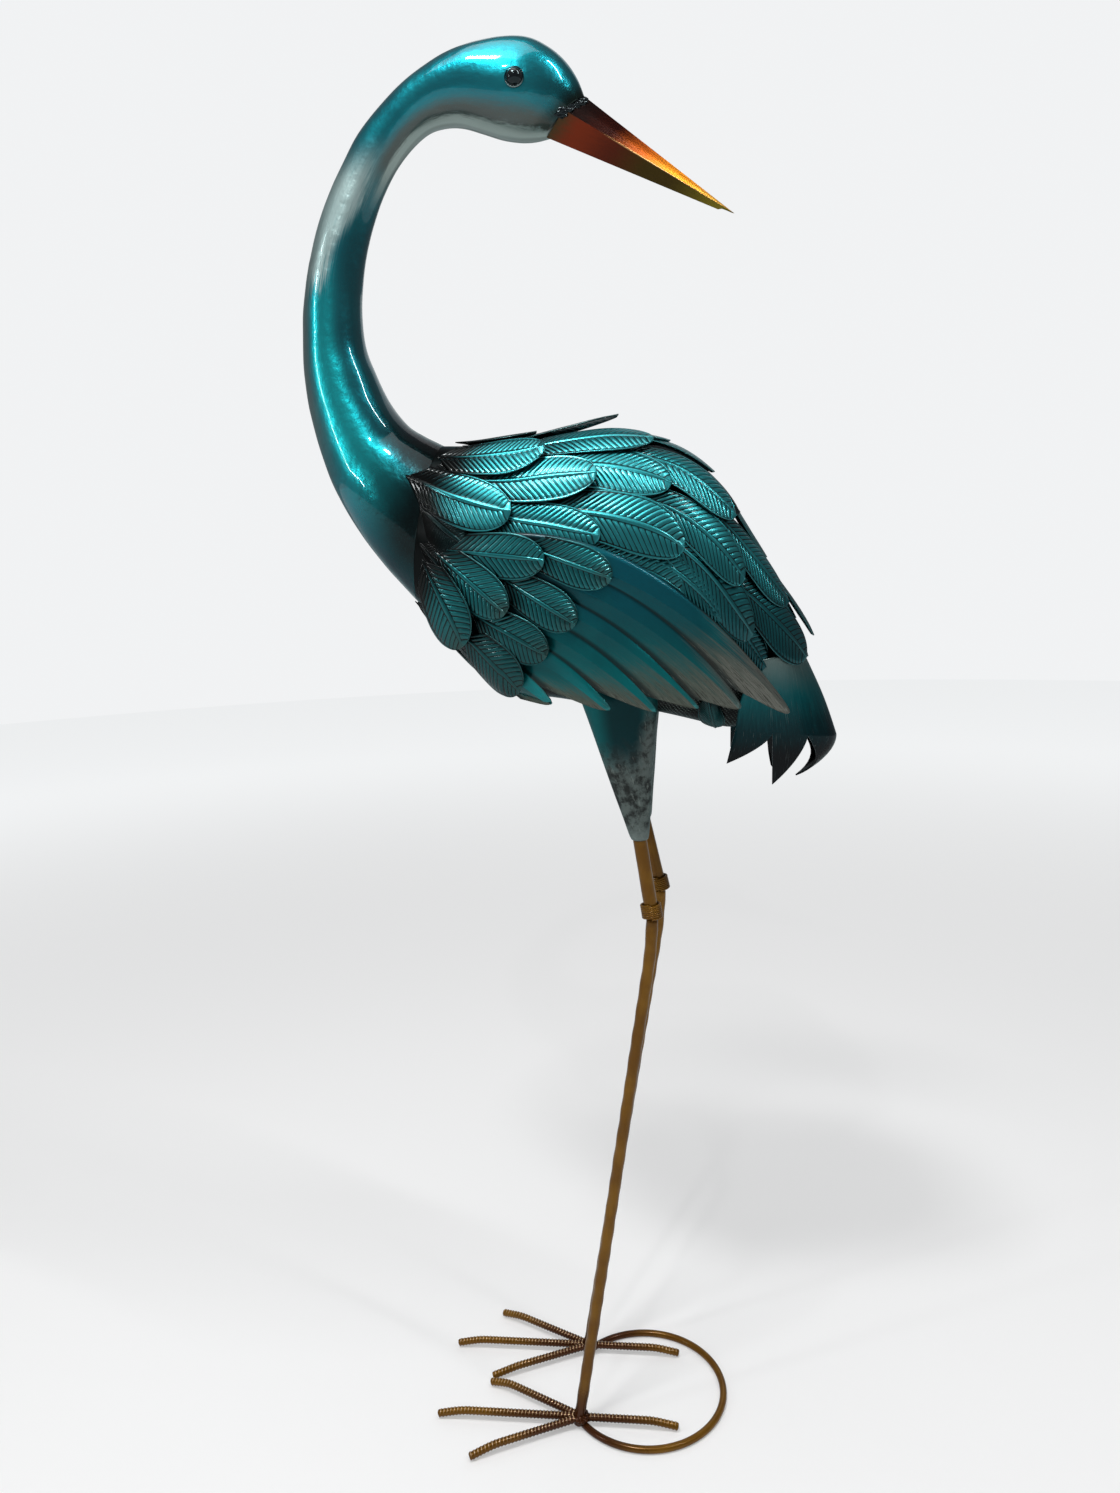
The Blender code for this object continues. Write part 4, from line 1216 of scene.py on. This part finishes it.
leg = {
    "hipHalfSpacing": 38,
    "thighTop": (48, 602),
    "thighBottom": (60.5, 495),
    "thighHalfLength": 28.5,
    "thighHalfWidth": 17.5,
    "thighEndRadius": 6.6,
    "thighSink": 0.15,
    "thighSpan": 1.16,
    "thighEdge": (0.95, 0.06),
    "thighDent": 0.035,
    "upperRadius": 5.2,
    "knees": {"left": (68.4, 435.5), "right": (73.0, 435)},
    "kneeBend": (-2.7, -32),
    "lowerRadius": 4.55,
    "footHalfSpacing": 41.5,
    "ankleX": -3.0,
    "ankleZ": 1.0,
    "twist": 0.16,
    "twistLength": 42,
}
coil = {"wire": 1.8, "turns": 7, "clearance": 1.0, "rise": 5.0}


# Points along a path with its corners rounded, and the direction there
def pathPoint(points, share, rounding):
    lengths = [(end - start).length for start, end in zip(points, points[1:])]
    total = sum(lengths)

    def at(distance):
        for start, end, length in zip(points, points[1:], lengths):
            if distance <= length:
                return start.lerp(end, distance / length)
            distance -= length
        return points[-1]

    distance = share * total
    reach = min(rounding, distance, total - distance)
    samples = [at(distance + reach * step / 4) for step in range(-4, 5)]
    middle = sum(samples, Vector()) / len(samples)
    step = 0.4 * mm
    ahead = at(min(distance + reach + step, total)) - at(max(distance - reach - step, 0.0))
    return middle, ahead.normalized(), distance, total


# Round rod along a path; swell(distance, angle) gives what stands out from its radius, and a relief
def rodShape(points, radius, rows, columns, swell, rounding=6 * mm):
    def place(u, v):
        middle, forward, distance, total = pathPoint(points, u, rounding)
        level = forward.cross(Vector((0, 0, 1)))
        level = level.normalized() if level.length > 0.05 else Vector((0, 1, 0))
        upward = level.cross(forward)
        angle = 2 * math.pi * v
        out, relief = swell(distance, angle)
        edge = min(distance, total - distance) / (0.8 * mm)
        worn = math.sqrt(max(1 - (1 - min(edge, 1.0)) ** 2, 0.0)) * 0.35 + 0.65
        size = (radius + out) * worn
        return middle + level * size * math.cos(angle) + upward * size * math.sin(angle), relief

    return bentGrid(rows, columns, place, True)


def plainSwell(distance, angle):
    return noise.noise(Vector((distance * 60, math.cos(angle), math.sin(angle)))) * 0.12 * mm, 0.0


# The lower rod was twisted a little when it was drawn
def twistSwell(distance, angle):
    ridge = math.cos(2 * (angle - distance / (leg["twistLength"] * mm) * 2 * math.pi))
    dent = noise.noise(Vector((distance * 80, angle, 0))) * 0.1
    return (ridge * leg["twist"] + dent) * mm, max(ridge, 0) * 0.35


def thighPlace(side):
    top, bottom = (
        inMm(x, side * leg["hipHalfSpacing"], z) for x, z in (leg["thighTop"], leg["thighBottom"]))

    def place(u, v):
        share = u * leg["thighSpan"] - leg["thighSink"]
        edge, reach = leg["thighEdge"]
        close = math.sqrt(max(1 - (max(share - edge, 0.0) / reach) ** 2, 0.0)) * 0.3 + 0.7
        share = min(share, 1.0)
        taper = max(share, 0.0)
        angle = 2 * math.pi * v
        length = leg["thighHalfLength"] * (1 - taper) + leg["thighEndRadius"] * taper
        width = leg["thighHalfWidth"] * (1 - taper) + leg["thighEndRadius"] * taper
        centre = top.lerp(bottom, share)
        dent = noise.noise(Vector((math.cos(angle), math.sin(angle), share * 3 + side)))
        close *= 1 + dent * leg["thighDent"]
        return centre + inMm(length * math.cos(angle), width * math.sin(angle), 0) * close, 0.0

    return place


def makeLeg(side, sideName):
    spread = leg["hipHalfSpacing"]
    hip = inMm(leg["thighBottom"][0], side * spread, leg["thighBottom"][1])
    knee = leg["knees"][sideName]
    joint = inMm(knee[0], side * (spread + 0.4), knee[1])
    bend = joint + inMm(leg["kneeBend"][0], 0, leg["kneeBend"][1])
    ankle = inMm(leg["ankleX"], side * leg["footHalfSpacing"], leg["ankleZ"])
    upperWay = (hip - joint).normalized()
    lowerWay = (bend - joint).normalized()
    shape = bentGrid(60, 48, thighPlace(side), True)
    addPiece(sideName + "_thigh_cone", shape, "thigh", [sideName + "_thigh"])
    path = [hip + upperWay * 3 * mm, joint + upperWay * mm]
    shape = rodShape(path, leg["upperRadius"] * mm, 40, 24, plainSwell)
    addPiece(sideName + "_upper_leg_tube", shape, "leg", [sideName + "_upper_leg"])
    path = [joint + lowerWay * mm, bend, ankle]
    shape = rodShape(path, leg["lowerRadius"] * mm, 260, 20, twistSwell, 9 * mm)
    addPiece(sideName + "_lower_leg_rod", shape, "leg", [sideName + "_lower_leg"])
    makeCoil(sideName, joint + upperWay * coil["rise"] * mm, upperWay)


# Wire wound round the knee
def makeCoil(sideName, centre, axis):
    wire = coil["wire"] * 0.5 * mm
    radius = (leg["upperRadius"] + coil["clearance"]) * mm + wire
    turns = coil["turns"]
    steps = turns * 32
    pitch = coil["wire"] * mm
    shape = bmesh.new()
    bmesh.ops.create_circle(shape, segments=10, radius=wire * 0.98, cap_ends=True)
    turnShape(shape, 90, "X")
    moveShape(shape, (radius, 0, -pitch * (turns - 1) / 2))
    bmesh.ops.spin(
        shape, geom=shape.faces[:], cent=(0, 0, 0), axis=(0, 0, 1), dvec=(0, 0, pitch * (turns - 1) / steps),
        angle=2 * math.pi * turns, steps=steps, use_merge=False)
    bmesh.ops.recalc_face_normals(shape, faces=shape.faces)
    turn = axis.to_track_quat("Z", "Y").to_matrix()
    bmesh.ops.rotate(shape, verts=shape.verts, cent=(0, 0, 0), matrix=turn)
    moveShape(shape, centre)
    addPiece(sideName + "_knee_wire", shape, "leg", [sideName + "_knee_coil"])


# Feet

foot = {
    "radius": 3.0,
    "height": 8.0,
    "spread": 26,
    "lengths": {"middle": 106, "outer": 81, "inner": 77, "back": 64},
    "start": 5.5,
    "tip": 15,
    "tipRise": 1.1,
    "tipGap": 0.35,
    "bendLength": 7,
    "bendDrop": 0.2,
    "ribPitch": 3.0,
    "ribHeight": 0.6,
    "ribSlant": 2.2,
    "ribSink": 0.35,
    "ringCentreX": 51,
    "ringRadius": 3.0,
    "ringGap": 3,
    "weldSize": (7.5, 6.8, 3.8),
}


# Ribs of the toe rods: two rows of slanting crescents
def ribSwell(distance, angle):
    turn = math.cos(2 * math.pi * distance / (foot["ribPitch"] * mm) + foot["ribSlant"] * math.sin(angle))
    crescent = abs(math.sin(angle)) ** 0.7
    rib = max(turn, 0.0) ** 0.8 * crescent
    return (rib - foot["ribSink"]) * foot["ribHeight"] * mm, rib


def makeToes(side, sideName):
    hub = inMm(0, side * leg["footHalfSpacing"], 0)
    height, radius = foot["height"], foot["radius"]
    drop = height - radius * 0.9
    headings = (("middle", 0), ("outer", foot["spread"]), ("inner", -foot["spread"]), ("back", 180))
    for label, degrees in headings:
        turn = math.radians(degrees)
        way = Vector((-math.cos(turn), side * math.sin(turn), 0))
        length = foot["lengths"][label]
        path = [
            (foot["start"], height), (length - foot["bendLength"], height),
            (length, height - drop * foot["bendDrop"]),
            (length + foot["tip"], height - drop + foot["tipRise"]),
        ]
        points = [hub + (way * reach + Vector((0, 0, z))) * mm for reach, z in path]
        if label == "inner":
            points[-1].y = side * (radius + foot["tipGap"]) * mm
        shape = rodShape(points, radius * mm, round(length / foot["ribPitch"] * 5), 14, ribSwell, 5 * mm)
        toe = sideName + "_" + label + "_toe"
        addPiece(toe + "_rod", shape, "leg", [toe])
    shape = bmesh.new()
    bmesh.ops.create_icosphere(shape, subdivisions=5, radius=1.0)
    for vertex in shape.verts:
        lump = 1 + noise.noise(vertex.co * 2.6 + hub * 90) * 0.35 + noise.noise(vertex.co * 7) * 0.09
        vertex.co = vertex.co * inMm(*foot["weldSize"]) * lump
        vertex.co.z = max(vertex.co.z, -height * 0.9 * mm)
    moveShape(shape, hub + inMm(-1, 0, height))
    addPiece(sideName + "_foot_weld", shape, "leg")


# The rod ring on the floor, from one foot round behind to the other
def makeRing():
    spread = leg["footHalfSpacing"] * mm
    centreX = foot["ringCentreX"] * mm
    radius = math.hypot(centreX, spread)
    start = math.atan2(spread, -centreX) - foot["ringGap"] * mm / radius
    shape = bmesh.new()
    bmesh.ops.create_circle(shape, segments=18, radius=foot["ringRadius"] * mm * 0.98, cap_ends=True)
    turnShape(shape, 90, "X")
    moveShape(shape, (radius, 0, foot["ringRadius"] * mm))
    turnShape(shape, math.degrees(start), "Z")
    bmesh.ops.spin(
        shape, geom=shape.faces[:], cent=(0, 0, 0), axis=(0, 0, -1), dvec=(0, 0, 0), angle=2 * start,
        steps=150, use_merge=False)
    bmesh.ops.recalc_face_normals(shape, faces=shape.faces)
    moveShape(shape, (centreX, 0, 0))
    addPiece("ground_ring_rod", shape, "leg", ["ground_ring"])


finishes["leg"] = legFinish()
for side, sideName in sides:
    makeLeg(side, sideName)
    makeToes(side, sideName)
makeRing()
print("legs and feet made")
